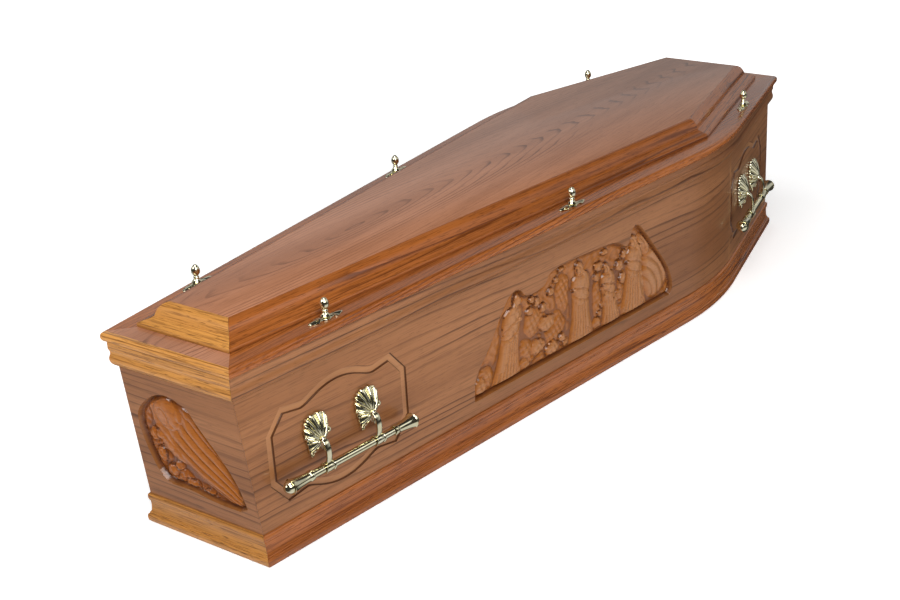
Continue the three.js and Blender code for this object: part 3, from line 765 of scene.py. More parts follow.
def carving_cutter(points, scene, pitch, placement):
    """The air in a carved pocket: the scene below, and a top clear of the board."""
    outline = flowing([Vector(point) for point in points], 4)
    low = Vector((min(p.x for p in outline), min(p.y for p in outline))) - Vector((3, 3))
    high = Vector((max(p.x for p in outline), max(p.y for p in outline))) + Vector((3, 3))
    steps = [round((b - a) / pitch) for a, b in zip(low, high)]
    bpy.ops.object.select_all(action="DESELECT")
    bpy.ops.mesh.primitive_grid_add(x_subdivisions=steps[0], y_subdivisions=steps[1], size=2)
    cutter = bpy.context.object
    count = len(cutter.data.vertices)
    flat = np.empty(count * 3)
    cutter.data.vertices.foreach_get("co", flat)
    places = flat.reshape(-1, 3)
    x = low.x + (high.x - low.x) * (places[:, 0] + 1) / 2
    y = low.y + (high.y - low.y) * (places[:, 1] + 1) / 2
    depth = inside_depth(outline, x, y)
    wall = -np.clip(depth, -1, None) * CARVING_DEPTH / CARVING_EDGE
    settled = np.clip((depth - CARVING_EDGE / MILLIMETRE) / 6, 0, 1)
    ground = -CARVING_DEPTH / MILLIMETRE + scene(x, y) * settled
    places[:, 0], places[:, 1] = x, y
    places[:, 2] = np.maximum(wall, ground)
    cutter.data.vertices.foreach_set("co", (places * MILLIMETRE).ravel())
    edit()
    bpy.ops.mesh.select_all(action="SELECT")
    extrude(UP * CUTTER_RISE)
    bpy.ops.mesh.select_all(action="SELECT")
    bpy.ops.mesh.normals_make_consistent(inside=False)
    leave_edit()
    face_outward(cutter)
    cutter.data.transform(placement)
    return cutter


def mark_cut(piece, placement, corners, floor, wall, flat=0.9):
    """Gives materials to the faces that lie below a face's plane, between two corners on it."""
    low, high = corners
    deepest, shallowest = CUT_HEIGHTS
    back = placement.inverted()
    outward = placement.to_3x3() @ UP
    for face in piece.data.polygons:
        place = back @ face.center
        beside = low[0] < place.x < high[0] and low[1] < place.y < high[1]
        if beside and deepest < place.z < shallowest:
            face.material_index = floor if face.normal.dot(outward) > flat else wall


# Brass furniture


HANDLE_HEIGHT = 0.200
HANDLE_PLACES = {"foot": -0.752, "head": 0.732}
BRACKET_SPACING = 0.125
BAR_DROP = 0.054
BAR_STAND_OFF = 0.028
BAR_LENGTH = 0.202
BAR_RADIUS = 0.0075
RING_RADIUS = 0.0105
RING_LENGTH = 0.022
BALL = Vector((0, -0.003, 0.020))
BALL_RADIUS = 0.0062
CAP_LENGTH = 0.065
CAP_RADIUS = 0.015

# Turned outlines, as shares of length and radius
RING_TURNING = (
    (0.0, 0.86), (0.0, 0.96), (0.02, 1.0), (0.10, 1.0), (0.13, 0.96), (0.16, 0.90), (0.30, 0.93), (0.5, 0.95),
    (0.70, 0.93), (0.84, 0.90), (0.87, 0.96), (0.90, 1.0), (0.98, 1.0), (1.0, 0.96), (1.0, 0.86),
)
CAP_TURNING = (
    (0.0, 0.0), (0.0, 0.60), (0.012, 0.655), (0.03, 0.67), (0.10, 0.67), (0.12, 0.655), (0.13, 0.625),
    (0.145, 0.605), (0.20, 0.610), (0.32, 0.645), (0.45, 0.705), (0.57, 0.775), (0.67, 0.850), (0.735, 0.915),
    (0.765, 0.955), (0.777, 0.985), (0.782, 1.0), (0.790, 1.0), (0.794, 0.985), (0.796, 0.93), (0.797, 0.80),
    (0.82, 0.80), (0.86, 0.76), (0.90, 0.68), (0.94, 0.545), (0.97, 0.40), (0.99, 0.23), (1.0, 0.0),
)
SCREW_TURNING = (
    (0.0, 0.0), (0.0, 0.96), (0.02, 1.0), (0.05, 0.98), (0.075, 0.90), (0.11, 0.74), (0.17, 0.58),
    (0.23, 0.50),
    (0.255, 0.52), (0.275, 0.585), (0.295, 0.60), (0.315, 0.57), (0.33, 0.49), (0.36, 0.43), (0.39, 0.45),
    (0.42, 0.56), (0.47, 0.71), (0.53, 0.82), (0.60, 0.87), (0.68, 0.87), (0.76, 0.81), (0.83, 0.70),
    (0.89, 0.56), (0.94, 0.42), (0.975, 0.27), (0.993, 0.14), (1.0, 0.0),
)

# The leaf of a bracket: how far it reaches at each bearing from straight up, in degrees and metres
LEAF_REACH = (
    (0, 0.0475), (18, 0.049), (32, 0.0465), (44, 0.0400), (56, 0.0345), (72, 0.0300), (88, 0.0262),
    (108, 0.0245), (128, 0.0275), (146, 0.0345), (160, 0.0300), (172, 0.0210), (180, 0.0190),
)
# The bearings of the grooves between the leaf's ribs
LEAF_GROOVES = (0, 21, 34, 46, 68, 90, 112, 152, 180)
# The bearings of the fine lines that part the wide ribs
LEAF_LINES = (0, 10.5, 34, 57, 79, 101, 132, 166, 180)


def turned(name, outline, length, radius, steps=40):
    """A turned piece along X, from an outline of shares."""
    points = [Vector((along * length, 0, out * radius)) for along, out in outline]
    piece = start_point(name, points[0])
    for here, there in zip(points, points[1:]):
        extrude(there - here)
    bpy.ops.mesh.select_all(action="SELECT")
    bpy.ops.mesh.spin(steps=steps, angle=math.tau, center=(0, 0, 0), axis=(1, 0, 0))
    return close_up(piece, 30)


def formed(name, segments, rings, place):
    """A closed form made from a sphere; place turns a bearing, a share of the way out and a height share."""
    bpy.ops.object.select_all(action="DESELECT")
    bpy.ops.mesh.primitive_uv_sphere_add(segments=segments, ring_count=rings, radius=1)
    piece = bpy.context.object
    piece.name = piece.data.name = name
    for vertex in piece.data.vertices:
        x, y, z = vertex.co
        vertex.co = place(math.atan2(x, y), math.hypot(x, y), z)
    edit()
    return close_up(piece, 50)


def read_off(table, bearing):
    """Reads a table of pairs at a bearing, with a smooth join at each."""
    for (first, low), (last, high) in zip(table, table[1:]):
        if bearing <= last:
            t = (bearing - first) / (last - first)
            return low + (high - low) * t * t * (3 - 2 * t)
    return table[-1][1]


def rib(grooves, bearing):
    """0 in each groove and 1 on the rib between two."""
    for first, last in zip(grooves, grooves[1:]):
        if bearing <= last:
            return math.sin(math.pi * (bearing - first) / (last - first)) ** 0.6
    return 0.0


def leaf_point(bearing, out, height):
    degrees = min(180.0, abs(math.degrees(bearing)))
    ridge = rib(LEAF_GROOVES, degrees)
    line = rib(LEAF_LINES, degrees)
    lower = max(0.0, min(1.0, (degrees - 60) / 60))
    reach = read_off(LEAF_REACH, degrees) * (1 - (0.085 + 0.05 * lower) * (1 - ridge ** 0.7))
    place = Vector((
        math.sin(bearing) * reach * out, math.cos(bearing) * reach * out + BALL.y, sizes().clearance))
    if height >= 0:
        body = 0.0045 + 0.0125 * (1 - out * out) + 0.0030 * math.sin(math.pi * min(1, out)) * (1 - lower)
        carved = out ** 0.8 * (0.0060 * (ridge - 0.65) + 0.0016 * (line - 0.8))
        curl = 0.0030 * out ** 6 * ridge
        place.z = 0.0016 + (body + carved + curl) * height ** 0.38
    elif out > 0.9:
        place.z = 0.0016 * (out - 0.9) * 10
    return place


def strap(name, path, half_width, half_depth, sides=28):
    """A flat strap with rounded edges, along a path in the plane of Y and Z."""
    bpy.ops.object.select_all(action="DESELECT")
    bpy.ops.mesh.primitive_circle_add(vertices=sides, radius=1, fill_type="NGON")
    piece = bpy.context.object
    piece.name = piece.data.name = name
    edit()
    for _ in path[1:]:
        extrude(UP)
    leave_edit()
    for vertex in piece.data.vertices:
        stop = round(vertex.co.z)
        ahead = path[min(stop + 1, len(path) - 1)] - path[max(stop - 1, 0)]
        deep = ahead.normalized().cross(Vector((1, 0, 0)))
        across, down = (math.copysign(abs(c) ** 0.55, c) for c in (vertex.co.x, vertex.co.y))
        vertex.co = path[stop] + Vector((across * half_width, 0, 0)) + deep * down * half_depth
    edit()
    return close_up(piece, 30)


def ball(name, place, radius, squash=1.0):
    bpy.ops.object.select_all(action="DESELECT")
    bpy.ops.mesh.primitive_uv_sphere_add(
        segments=28, ring_count=16, location=place, scale=(radius, radius, radius * squash))
    piece = bpy.context.object
    piece.name = name
    bpy.ops.object.transform_apply(location=True, rotation=True, scale=True)
    return piece


def scroll(name, place, radius, thickness, lean):
    """A curled tip: a ring that climbs toward its inner end."""
    bpy.ops.object.select_all(action="DESELECT")
    bpy.ops.mesh.primitive_torus_add(
        major_segments=32, minor_segments=12, major_radius=radius, minor_radius=thickness)
    piece = bpy.context.object
    piece.name = name
    for vertex in piece.data.vertices:
        vertex.co.z += lean * vertex.co.x
        vertex.co.z *= 1.3
    piece.data.transform(Matrix.Translation(place))
    return piece


def handle_bracket():
    """A ribbed leaf with curled tips, a ball, a strap and the ring that holds the bar."""
    leaf = formed("bracket", 240, 36, leaf_point)
    ring = turned("ring", [(0.0, 0.0), *RING_TURNING, (1.0, 0.0)], RING_LENGTH, RING_RADIUS)
    ring_centre = Vector((0, -BAR_DROP, BAR_STAND_OFF))
    ring.data.transform(Matrix.Translation(ring_centre - Vector((RING_LENGTH / 2, 0, 0))))
    route = [Vector((0, y, z)) for z, y in (
        (0.0150, -0.002), (0.0235, -0.0035), (0.0285, -0.0085), (0.0318, -0.0165), (0.0330, -0.0255),
        (0.0328, -0.0340), (0.0310, -0.0430), (0.0285, -0.0500), (0.0270, -0.0545))]
    arm = strap("arm", flowing(route, 4), 0.0062, 0.0026)
    tips = [
        scroll("curl", Vector((side * across, up, rise)), radius, radius * 0.45, side * 0.25)
        for across, up, rise, radius in ((0.0225, 0.004, 0.0085, 0.0043), (0.0165, -0.0295, 0.0080, 0.0038))
        for side in (-1, 1)]
    for other in (*tips, ball("ball", BALL, BALL_RADIUS), arm, ring):
        combine(leaf, other, "UNION")
    bore = turned(
        "bore", ((0, 0), (0, 1), (1, 1), (1, 0)), RING_LENGTH * 2, BAR_RADIUS + sizes().clearance)
    bore.data.transform(Matrix.Translation(ring_centre - Vector((RING_LENGTH, 0, 0))))
    cut(leaf, bore)
    only(leaf)
    bpy.ops.object.shade_smooth_by_angle(angle=math.radians(50))
    return leaf


def handle_bar():
    ease = 0.0005 / BAR_LENGTH
    bar = turned("bar", (
        (0, 0), (0, 0.93), (ease, 1), (1 - ease, 1), (1, 0.93), (1, 0)),
        BAR_LENGTH - 2 * sizes().clearance, BAR_RADIUS, 48)
    bar.data.transform(Matrix.Translation((sizes().clearance - BAR_LENGTH / 2, -BAR_DROP, BAR_STAND_OFF)))
    return bar


def handle_cap():
    cap = turned("cap", CAP_TURNING, CAP_LENGTH, CAP_RADIUS, 64)
    cap.data.transform(Matrix.Translation((BAR_LENGTH / 2, -BAR_DROP, BAR_STAND_OFF)))
    return cap


def side_matrix(side, run, x, height):
    """A frame on either side's face, outward along Z."""
    origin = run.at_x(-sizes().side_overhang, x) + UP * height
    flip = Vector((1, 1 if side == "near" else -1, 1))
    return face_matrix(origin * flip, run.out * flip)


SCREW_PLATE_HALF_LENGTH = 0.040
SCREW_PLATE_HALF_WIDTH = 0.011
SCREW_PLATE_THICKNESS = 0.005
SCREW_HEIGHT = 0.035
SCREW_RADIUS = 0.0095


def plate_point(bearing, out, height):
    """A long plate with a boss in the middle and a fluted shell at each end."""
    x = SCREW_PLATE_HALF_LENGTH * math.sin(bearing)
    along = abs(x) / SCREW_PLATE_HALF_LENGTH
    lobe = 0.80 + 0.20 * math.cos(3 * math.pi * along)
    across = SCREW_PLATE_HALF_WIDTH * lobe * math.sqrt(abs(math.cos(bearing)))
    across = math.copysign(across, math.cos(bearing))
    place = Vector((x * out, across * out, 0))
    shell = max(0.0, min(1.0, (abs(place.x) - 0.013) / 0.008))
    fan = math.atan2(place.y, abs(place.x) - 0.010)
    flutes = math.cos(fan * 7)
    edge = 1 - 0.05 * shell * (1 - flutes) * out ** 4
    place.x *= edge
    if height >= 0:
        dome = 0.62 + 0.38 * (1 - out * out)
        place.z = SCREW_PLATE_THICKNESS * (0.18 + 0.80 * dome * height ** 0.4)
        place.z += 0.00075 * shell * (flutes - 0.4) * height ** 0.5 * (0.3 + out)
        place.z = min(place.z, SCREW_PLATE_THICKNESS)
    return place


def screw_plate():
    return formed("screw_plate", 256, 32, plate_point)


def lid_screw():
    screw = turned("lid_screw", SCREW_TURNING, SCREW_HEIGHT, SCREW_RADIUS, 48)
    screw.data.transform(Matrix.Rotation(-math.pi / 2, 4, "Y"))
    return screw


# Shader maths


class Value:
    """A socket in a material's tree, with arithmetic that adds Math nodes."""

    def __init__(self, tree, socket):
        self.tree = tree
        self.socket = socket

    def maths(self, operation, *values):
        return node(self.tree, "ShaderNodeMath", {"operation": operation}, values)

    def __add__(self, other):
        return self.maths("ADD", self, other)

    def __sub__(self, other):
        return self.maths("SUBTRACT", self, other)

    def __rsub__(self, other):
        return self.maths("SUBTRACT", other, self)

    def __mul__(self, other):
        return self.maths("MULTIPLY", self, other)

    def __truediv__(self, other):
        return self.maths("DIVIDE", self, other)

    def __pow__(self, other):
        return self.maths("POWER", self, other)

    __radd__ = __add__
    __rmul__ = __mul__

    def fraction(self):
        return self.maths("FRACT", self)

    def between(self, low, high):
        """Rises smoothly from 0 at low to 1 at high."""
        return node(self.tree, "ShaderNodeMapRange", {"interpolation_type": "SMOOTHSTEP"}, {
            "Value": self, "From Min": low, "From Max": high})


def node(tree, kind, settings=None, values=(), output=0):
    """Adds a node: its settings first, then the values or links of its sockets."""
    made = tree.nodes.new(kind)
    for key, setting in (settings or {}).items():
        setattr(made, key, setting)
    pairs = values.items() if isinstance(values, dict) else enumerate(values)
    for key, value in pairs:
        socket = made.inputs[key]
        if isinstance(value, Value):
            tree.links.new(value.socket, socket)
        else:
            socket.default_value = value
    return Value(tree, made.outputs[output]) if made.outputs else None


def new_material(name):
    material = bpy.data.materials.new(name)
    material.use_nodes = True
    tree = material.node_tree
    tree.nodes.clear()
    return material, tree


def blend(tree, factor, first, second):
    """Mixes two colours."""
    pair = [c if isinstance(c, Value) else (*c, 1) for c in (first, second)]
    return node(tree, "ShaderNodeMix", {"data_type": "RGBA"}, {0: factor, 6: pair[0], 7: pair[1]}, 2)


def split(tree, place):
    """The three parts of a vector."""
    parts = node(tree, "ShaderNodeSeparateXYZ", {}, [place])
    return [Value(tree, output) for output in parts.socket.node.outputs]


def stretched(tree, place, stretch, detail=2.0, roughness=0.5):
    """Noise drawn out along the grain; stretch gives its waves per metre along, across and up."""
    scaled = node(tree, "ShaderNodeVectorMath", {"operation": "MULTIPLY"}, [place, stretch])
    return node(tree, "ShaderNodeTexNoise", {}, {
        "Vector": scaled, "Scale": 1.0, "Detail": detail, "Roughness": roughness})


def surface(tree, colour_value, roughness, height, bump, **fixed):
    """The shader and its output; fixed values stay on the shader's own sockets."""
    values = {"Base Color": colour_value, "Roughness": roughness}
    if height is not None:
        values["Normal"] = node(tree, "ShaderNodeBump", {}, {
            "Strength": 1.0, "Distance": bump, "Height": height})
    values.update({key.replace("_", " "): value for key, value in fixed.items()})
    shader = node(tree, "ShaderNodeBsdfPrincipled", {}, values)
    node(tree, "ShaderNodeOutputMaterial", {}, {"Surface": shader})


def scaled_tint(tint, share_kept, lean=(1, 1, 1)):
    return tuple(max(0.0, min(1.0, c * share_kept * k)) for c, k in zip(tint, lean))


# How deep the bump of each finish goes, in metres
PORE_DEPTH = 0.00012
CHIP_DEPTH = 0.0009
BRASS_MARK_DEPTH = 0.000003


def wood(name, tint, lines, spacing, wander, streak, pore, gloss, coat, heart=None, crosswise=False,
         on_object=False):
    """Lacquered wood; lines, streak and pore are strengths, and spacing is metres between growth lines.

    heart, for a flat-sawn face, is where the tree's middle lies: across, below, and its climb along.
    crosswise turns the grain to run across the piece, and on_object takes it from the object's own axes.
    """
    material, tree = new_material(name)
    if on_object:
        place = node(tree, "ShaderNodeTexCoord", {}, {}, "Object")
    else:
        place = node(tree, "ShaderNodeAttribute", {"attribute_name": "grain"}, {}, "Vector")
    along, across, up = split(tree, place)
    if crosswise:
        along, across = across, along
        place = node(tree, "ShaderNodeCombineXYZ", {}, [along, across, up])
    radius = across + up
    if heart:
        aside = across - heart[0]
        below = along * heart[2] + heart[1]
        radius = (aside * aside + below * below) ** 0.5
    drift = stretched(tree, place, (0.75, 5.0, 5.0))
    ripple = stretched(tree, place, (7.0, 34.0, 34.0), detail=3.0)
    bunching = stretched(tree, place, (0.9, 17.0, 17.0))
    rings = (radius / spacing + drift * wander + bunching * 3.2 + ripple * 0.5 + along * 0.8).fraction()
    late = rings.between(0.62, 0.92) * (1 - rings.between(0.94, 1.0))
    strength = stretched(tree, place, (1.3, 24.0, 24.0)).between(0.34, 0.64)
    if heart:
        strength = strength * (1 - aside.maths("ABSOLUTE", aside).between(0.05, 0.16) * 0.65)
    fine = stretched(tree, place, (11.0, 420.0, 420.0), detail=3.0, roughness=0.62)
    dashes = stretched(tree, place, (38.0, 560.0, 560.0)).between(0.58, 0.72)
    cloud = stretched(tree, place, (1.1, 9.0, 9.0), detail=3.0)
    light = scaled_tint(tint, 1.22, (1.0, 1.04, 1.08))
    dark = scaled_tint(tint, 0.80, (1.0, 0.94, 0.86))
    line_tint = scaled_tint(tint, 0.30, (1.0, 0.80, 0.66))
    ground = blend(tree, cloud.between(0.30, 0.70), dark, light)
    veined = blend(tree, late * strength * lines, ground, line_tint)
    streak_tint = scaled_tint(tint, 0.38, (1.0, 0.84, 0.72))
    streaked = blend(tree, fine.between(0.46, 0.70) * streak, veined, streak_tint)
    pored = blend(tree, dashes * pore, streaked, scaled_tint(tint, 0.24, (1.0, 0.8, 0.7)))
    rough = gloss + fine * 0.10
    height = 0 - dashes * 0.6 - late * strength * 0.4
    surface(tree, pored, rough, height, PORE_DEPTH, Specular_IOR_Level=0.22, Coat_Weight=coat,
            Coat_Roughness=0.05, Coat_IOR=1.45)
    return material


def carved_wood(name, tint, top_tint, coat):
    """Stained and lacquered carving wood, deeper in colour toward the bottom of its pocket: the darkening is
    painted shade in the recesses.
    """
    material, tree = new_material(name)
    place = node(tree, "ShaderNodeTexCoord", {}, {}, "Object")
    carved = node(tree, "ShaderNodeAttribute", {"attribute_name": "grain"}, {}, "Vector")
    outward = split(tree, carved)[1]
    cloud = stretched(tree, place, (14.0, 14.0, 14.0), detail=3.0)
    fine = stretched(tree, place, (60.0, 60.0, 380.0), detail=3.0)
    chips = stretched(tree, place, (110.0, 110.0, 110.0), detail=3.0)
    depth = (0 - outward) / CARVING_DEPTH + (cloud - 0.5) * 0.3
    # Lighter and greyer on the tops, darker toward the pocket's floor and darker still at its very bottom, by
    # depth: painted shade in the recesses.
    tone = blend(tree, depth.between(0.15, 0.85), top_tint, tint)
    deep_painted_shade = blend(tree, depth.between(0.80, 1.0) * 0.75, tone, scaled_tint(tint, 0.40, (1, 0.80, 0.6)))
    worn_over_painted_shade = blend(tree, fine.between(0.50, 0.75) * 0.45, deep_painted_shade, scaled_tint(tint, 0.50, (1, 0.85, 0.7)))
    surface(tree, worn_over_painted_shade, 0.26 + fine * 0.08, chips, CHIP_DEPTH, Specular_IOR_Level=0.3, Coat_Weight=coat,
            Coat_Roughness=0.04, Coat_IOR=1.5)
    return material


def brass_finish(name, tint):
    material, tree = new_material(name)
    place = node(tree, "ShaderNodeTexCoord", {}, {}, "Object")
    cloud = stretched(tree, place, (60.0, 60.0, 60.0), detail=3.0)
    marks = stretched(tree, place, (900.0, 900.0, 900.0))
    tone = blend(tree, cloud.between(0.35, 0.7), scaled_tint(tint, 0.94, (1, 0.97, 0.86)), tint)
    surface(tree, tone, 0.06 + cloud * 0.05, marks, BRASS_MARK_DEPTH, Metallic=1.0)
    return material


def make_finishes():
    """Each finish is made once and found by name."""
    tints = finish()
    if "Side veneer" in bpy.data.materials:
        return bpy.data.materials
    side, carved = tints.side_veneer, tints.carved
    wood("Side veneer", side, 1.0, 0.017, 4.5, 0.42, 0.40, 0.26, 0.22)
    wood("Lid veneer", tints.lid_veneer, 0.85, 0.009, 1.8, 0.32, 0.40, 0.30, 0.28, heart=(0.02, 0.06, 0.13))
    for name, crosswise in (("Oak", False), ("Oak lipping", True)):
        wood(name, tints.oak, 0.85, 0.010, 2.4, 0.75, 0.70, 0.20, 0.50, crosswise=crosswise)
    for name, crosswise in (("Pale oak", False), ("Pale oak lipping", True)):
        wood(name, tints.pale_oak, 0.80, 0.011, 1.8, 0.90, 1.0, 0.24, 0.45, crosswise=crosswise)
    wood("Floor wood", side, 0.50, 0.020, 3.0, 0.40, 0.30, 0.45, 0.0, on_object=True)
    wood("Groove floor", scaled_tint(side, 1.30, (1, 1.08, 1.1)), 0.12, 0.020, 1.0, 0.16, 0.10, 0.30, 0.35)
    # Groove wall shade is a darker copy of the side veneer, for the groove's walls and eased edges: painted
    # shade.
    wood("Groove edge", scaled_tint(side, 0.36, (1, 0.85, 0.75)), 0.10, 0.020, 1.0, 0.22, 0.10, 0.24, 0.6)
    # Carved wall shade is a darker copy of the carving wood, for the pocket's steep walls: painted shade.
    for name, deep, deep_lean, top, top_lean, coat in (
            ("Carved", 0.95, (1, 0.90, 0.5), 1.12, (1, 1.2, 1.9), 0.5),
            ("Carved edge", 0.34, (1, 0.75, 0.7), 0.70, (1, 1, 1), 0.5),
            ("Foot carving", 0.78, (1, 0.75, 0.3), 1.0, (1, 0.86, 0.5), 0.7)):
        carved_wood(name, scaled_tint(carved, deep, deep_lean), scaled_tint(carved, top, top_lean), coat)
    brass_finish("Brass", tints.brass)
    return bpy.data.materials


# Pieces


class MakeBaseMouldings(bpy.types.Operator):
    """Runs the base moulding round the box"""
    bl_idname = "coffin.base_mouldings"
    bl_label = "Base mouldings"

    def execute(self, context):
        plan = Plan()
        wood_stock = make_finishes()
        outline = base_outline()
        near = side_member("near_base", outline, plan.box_foot)
        opposite = mirrored(near, "far_base")
        shift_grain(opposite, 0.3)
        foot = straight_member("foot_base", outline, plan.box_foot, far(plan.box_foot))
        head = straight_member("head_base", outline, far(plan.box_head), plan.box_head)
        hand_over(near, "near_base_moulding", "oak", wood_stock["Oak"])
        hand_over(opposite, "far_base_moulding", "oak", wood_stock["Oak"])
        hand_over(foot, "foot_base_moulding", "pale_oak", wood_stock["Pale oak"])
        hand_over(head, "head_base_moulding", "oak", wood_stock["Oak"])
        return {"FINISHED"}


class MakeUpperMouldings(bpy.types.Operator):
    """Runs the upper moulding round the box under the lid"""
    bl_idname = "coffin.upper_mouldings"
    bl_label = "Upper mouldings"

    def execute(self, context):
        plan = Plan()
        wood_stock = make_finishes()
        outline = upper_outline()
        near = side_member("near_upper", outline, plan.plumb_foot)
        opposite = mirrored(near, "far_upper")
        shift_grain(opposite, 0.5)
        foot = straight_member("foot_upper", outline, plan.plumb_foot, far(plan.plumb_foot))
        rake = foot_matrix(0)
        inward = rake.to_3x3() @ -UP
        only(foot)
        edit()
        saw(rake.translation - inward * sizes().clearance, inward)
        close_up(foot)
        set_grain(foot, across_grain)
        head = straight_member("head_upper", outline, far(plan.box_head), plan.box_head)
        hand_over(near, "near_upper_moulding", "oak", wood_stock["Side veneer"])
        hand_over(opposite, "far_upper_moulding", "oak", wood_stock["Side veneer"])
        hand_over(foot, "foot_upper_moulding", "pale_oak", wood_stock["Pale oak"])
        hand_over(head, "head_upper_moulding", "oak", wood_stock["Oak"])
        return {"FINISHED"}


class MakeLidStrips(bpy.types.Operator):
    """Mitres the six strips of the lid's raised part"""
    bl_idname = "coffin.lid_strips"
    bl_label = "Lid strips"

    def execute(self, context):
        plan = Plan()
        wood_stock = make_finishes()
        outline = strip_outline()
        near_foot = straight_member(
            "near_foot_strip", outline, plan.lid_shoulder, plan.lid_foot, plan.foot_run.grain)
        near_head = straight_member(
            "near_head_strip", outline, plan.lid_head, plan.lid_shoulder, plan.head_run.grain)
        for near, side_node in ((near_foot, "foot_side_lid_strip"), (near_head, "head_side_lid_strip")):
            opposite = mirrored(near, near.name.replace("near", "far"))
            shift_grain(opposite, 0.9)
            hand_over(near, "near_" + side_node, "oak", wood_stock["Oak"])
            hand_over(opposite, "far_" + side_node, "oak", wood_stock["Oak"])
        foot = straight_member("foot_strip", outline, plan.lid_foot, far(plan.lid_foot))
        head = straight_member("head_strip", outline, far(plan.lid_head), plan.lid_head)
        hand_over(foot, "foot_lid_strip", "pale_oak", wood_stock["Pale oak"])
        hand_over(head, "head_lid_strip", "oak", wood_stock["Oak"])
        return {"FINISHED"}


# The finishes of the lid board, in the order of its material slots
LID_FINISHES = ("Lid veneer", "Oak", "Pale oak lipping", "Oak lipping")
SIDE_LIPPING, FOOT_LIPPING, HEAD_LIPPING = 1, 2, 3
PANEL_EASE = 0.0006


class MakeLidBoard(bpy.types.Operator):
    """Rounds the lid board's outline and its edge"""
    bl_idname = "coffin.lid_board"
    bl_label = "Lid board"

    def execute(self, context):
        s = sizes()
        plan = Plan()
        wood_stock = make_finishes()
        bottom = s.box_height + s.clearance
        radius = s.shoulder_radius + s.side_overhang
        points = [plan.lid_foot(0, bottom)]
        for step in range(s.bend_steps + 1):
            outward = Matrix.Rotation(plan.turn * step / s.bend_steps, 3, "Z") @ plan.foot_run.out
            points.append(plan.centre + outward * radius + UP * bottom)
        points.append(plan.lid_head(0, bottom))
        loop = [*points, *[Vector((p.x, -p.y, p.z)) for p in reversed(points)]]
        lid = draw("lid", loop)
        bpy.ops.mesh.edge_face_add()
        extrude(UP * s.lid_thickness)
        middle = bottom + s.lid_thickness / 2
        select_where(lid, lambda place, edge: (
            abs(place.z - middle) > s.lid_thickness * 0.45
            and abs(edge.verts[0].co.z - edge.verts[1].co.z) < 1e-5), "EDGE")
        bpy.ops.mesh.bevel(offset=s.bullnose, segments=6, profile=0.5, affect="EDGES")
        corners = (
            (plan.lid_foot(0, 0), plan.lid_foot(-s.raised_inset, 0)),
            (plan.lid_head(0, 0), plan.lid_head(-s.raised_inset, 0)),
        )
        for outer, inner in corners:
            for sign in (1, -1):
                line = Vector((inner.x - outer.x, sign * (inner.y - outer.y), 0))
                bpy.ops.mesh.select_all(action="SELECT")
                bpy.ops.mesh.bisect(
                    plane_co=(outer.x, sign * outer.y, 0), plane_no=line.cross(UP).normalized())
        close_up(lid, 30)
        set_grain(lid, along_grain)
        hand_over(lid, "lid_board", "lid_veneer", *(wood_stock[name] for name in LID_FINISHES))
        edge_foot = plan.foot + s.bullnose * 0.9
        foot_corner, foot_inner = corners[0]
        head_corner, head_inner = corners[1]
        foot_slope = (foot_inner.y - foot_corner.y) / (foot_inner.x - foot_corner.x)
        head_slope = (head_inner.y - head_corner.y) / (head_corner.x - head_inner.x)
        for face in lid.data.polygons:
            place = face.center
            reach = abs(place.y)
            at_foot = reach < -foot_corner.y - (place.x - foot_corner.x) * foot_slope
            at_head = reach < -head_corner.y - (head_corner.x - place.x) * head_slope
            tilted = abs(face.normal.z) < 0.97
            if at_foot and (place.x < edge_foot or tilted):
                face.material_index = FOOT_LIPPING
            elif at_head and tilted:
                face.material_index = HEAD_LIPPING
            elif tilted or (place.z > middle and not at_foot and not at_head):
                face.material_index = SIDE_LIPPING
        return {"FINISHED"}


class MakeTopPanel(bpy.types.Operator):
    """Fits the veneered panel into the raised strips"""
    bl_idname = "coffin.top_panel"
    bl_label = "Top panel"

    def execute(self, context):
        s = sizes()
        plan = Plan()
        top = s.box_height + s.lid_thickness + 2 * s.clearance + s.raised_height
        offset = -s.raised_inset - s.strip_width - s.clearance
        near = [station(offset, top - s.panel_thickness) for station in (
            plan.lid_foot, plan.lid_shoulder, plan.lid_head)]
        panel = draw("panel", [*near, *[Vector((p.x, -p.y, p.z)) for p in reversed(near)]])
        bpy.ops.mesh.edge_face_add()
        extrude(UP * s.panel_thickness)
        select_where(panel, lambda place, edge: place.z > top - 1e-5, "EDGE")
        bpy.ops.mesh.bevel(offset=PANEL_EASE, segments=2, profile=0.5, affect="EDGES")
        close_up(panel, 30)
        set_grain(panel, along_grain)
        hand_over(panel, "top_panel", "lid_veneer", make_finishes()["Lid veneer"])
        return {"FINISHED"}


# The finishes of a board, in the order of its material slots, and the corners that its cuts lie between
BOARD_FINISHES = ("Side veneer", "Groove floor", "Groove edge", "Carved", "Carved edge")
GROOVE_FLOOR, GROOVE_WALL_SHADE, CARVED, CARVED_WALL_SHADE = 1, 2, 3, 4
GROOVE_CORNERS = ((-0.18, -0.12), (0.18, 0.12))
SIDE_CARVING_CORNERS = ((-0.01, -0.01), (0.70, 0.22))
FOOT_CARVING_CORNERS = ((-0.13, -0.01), (0.13, 0.22))


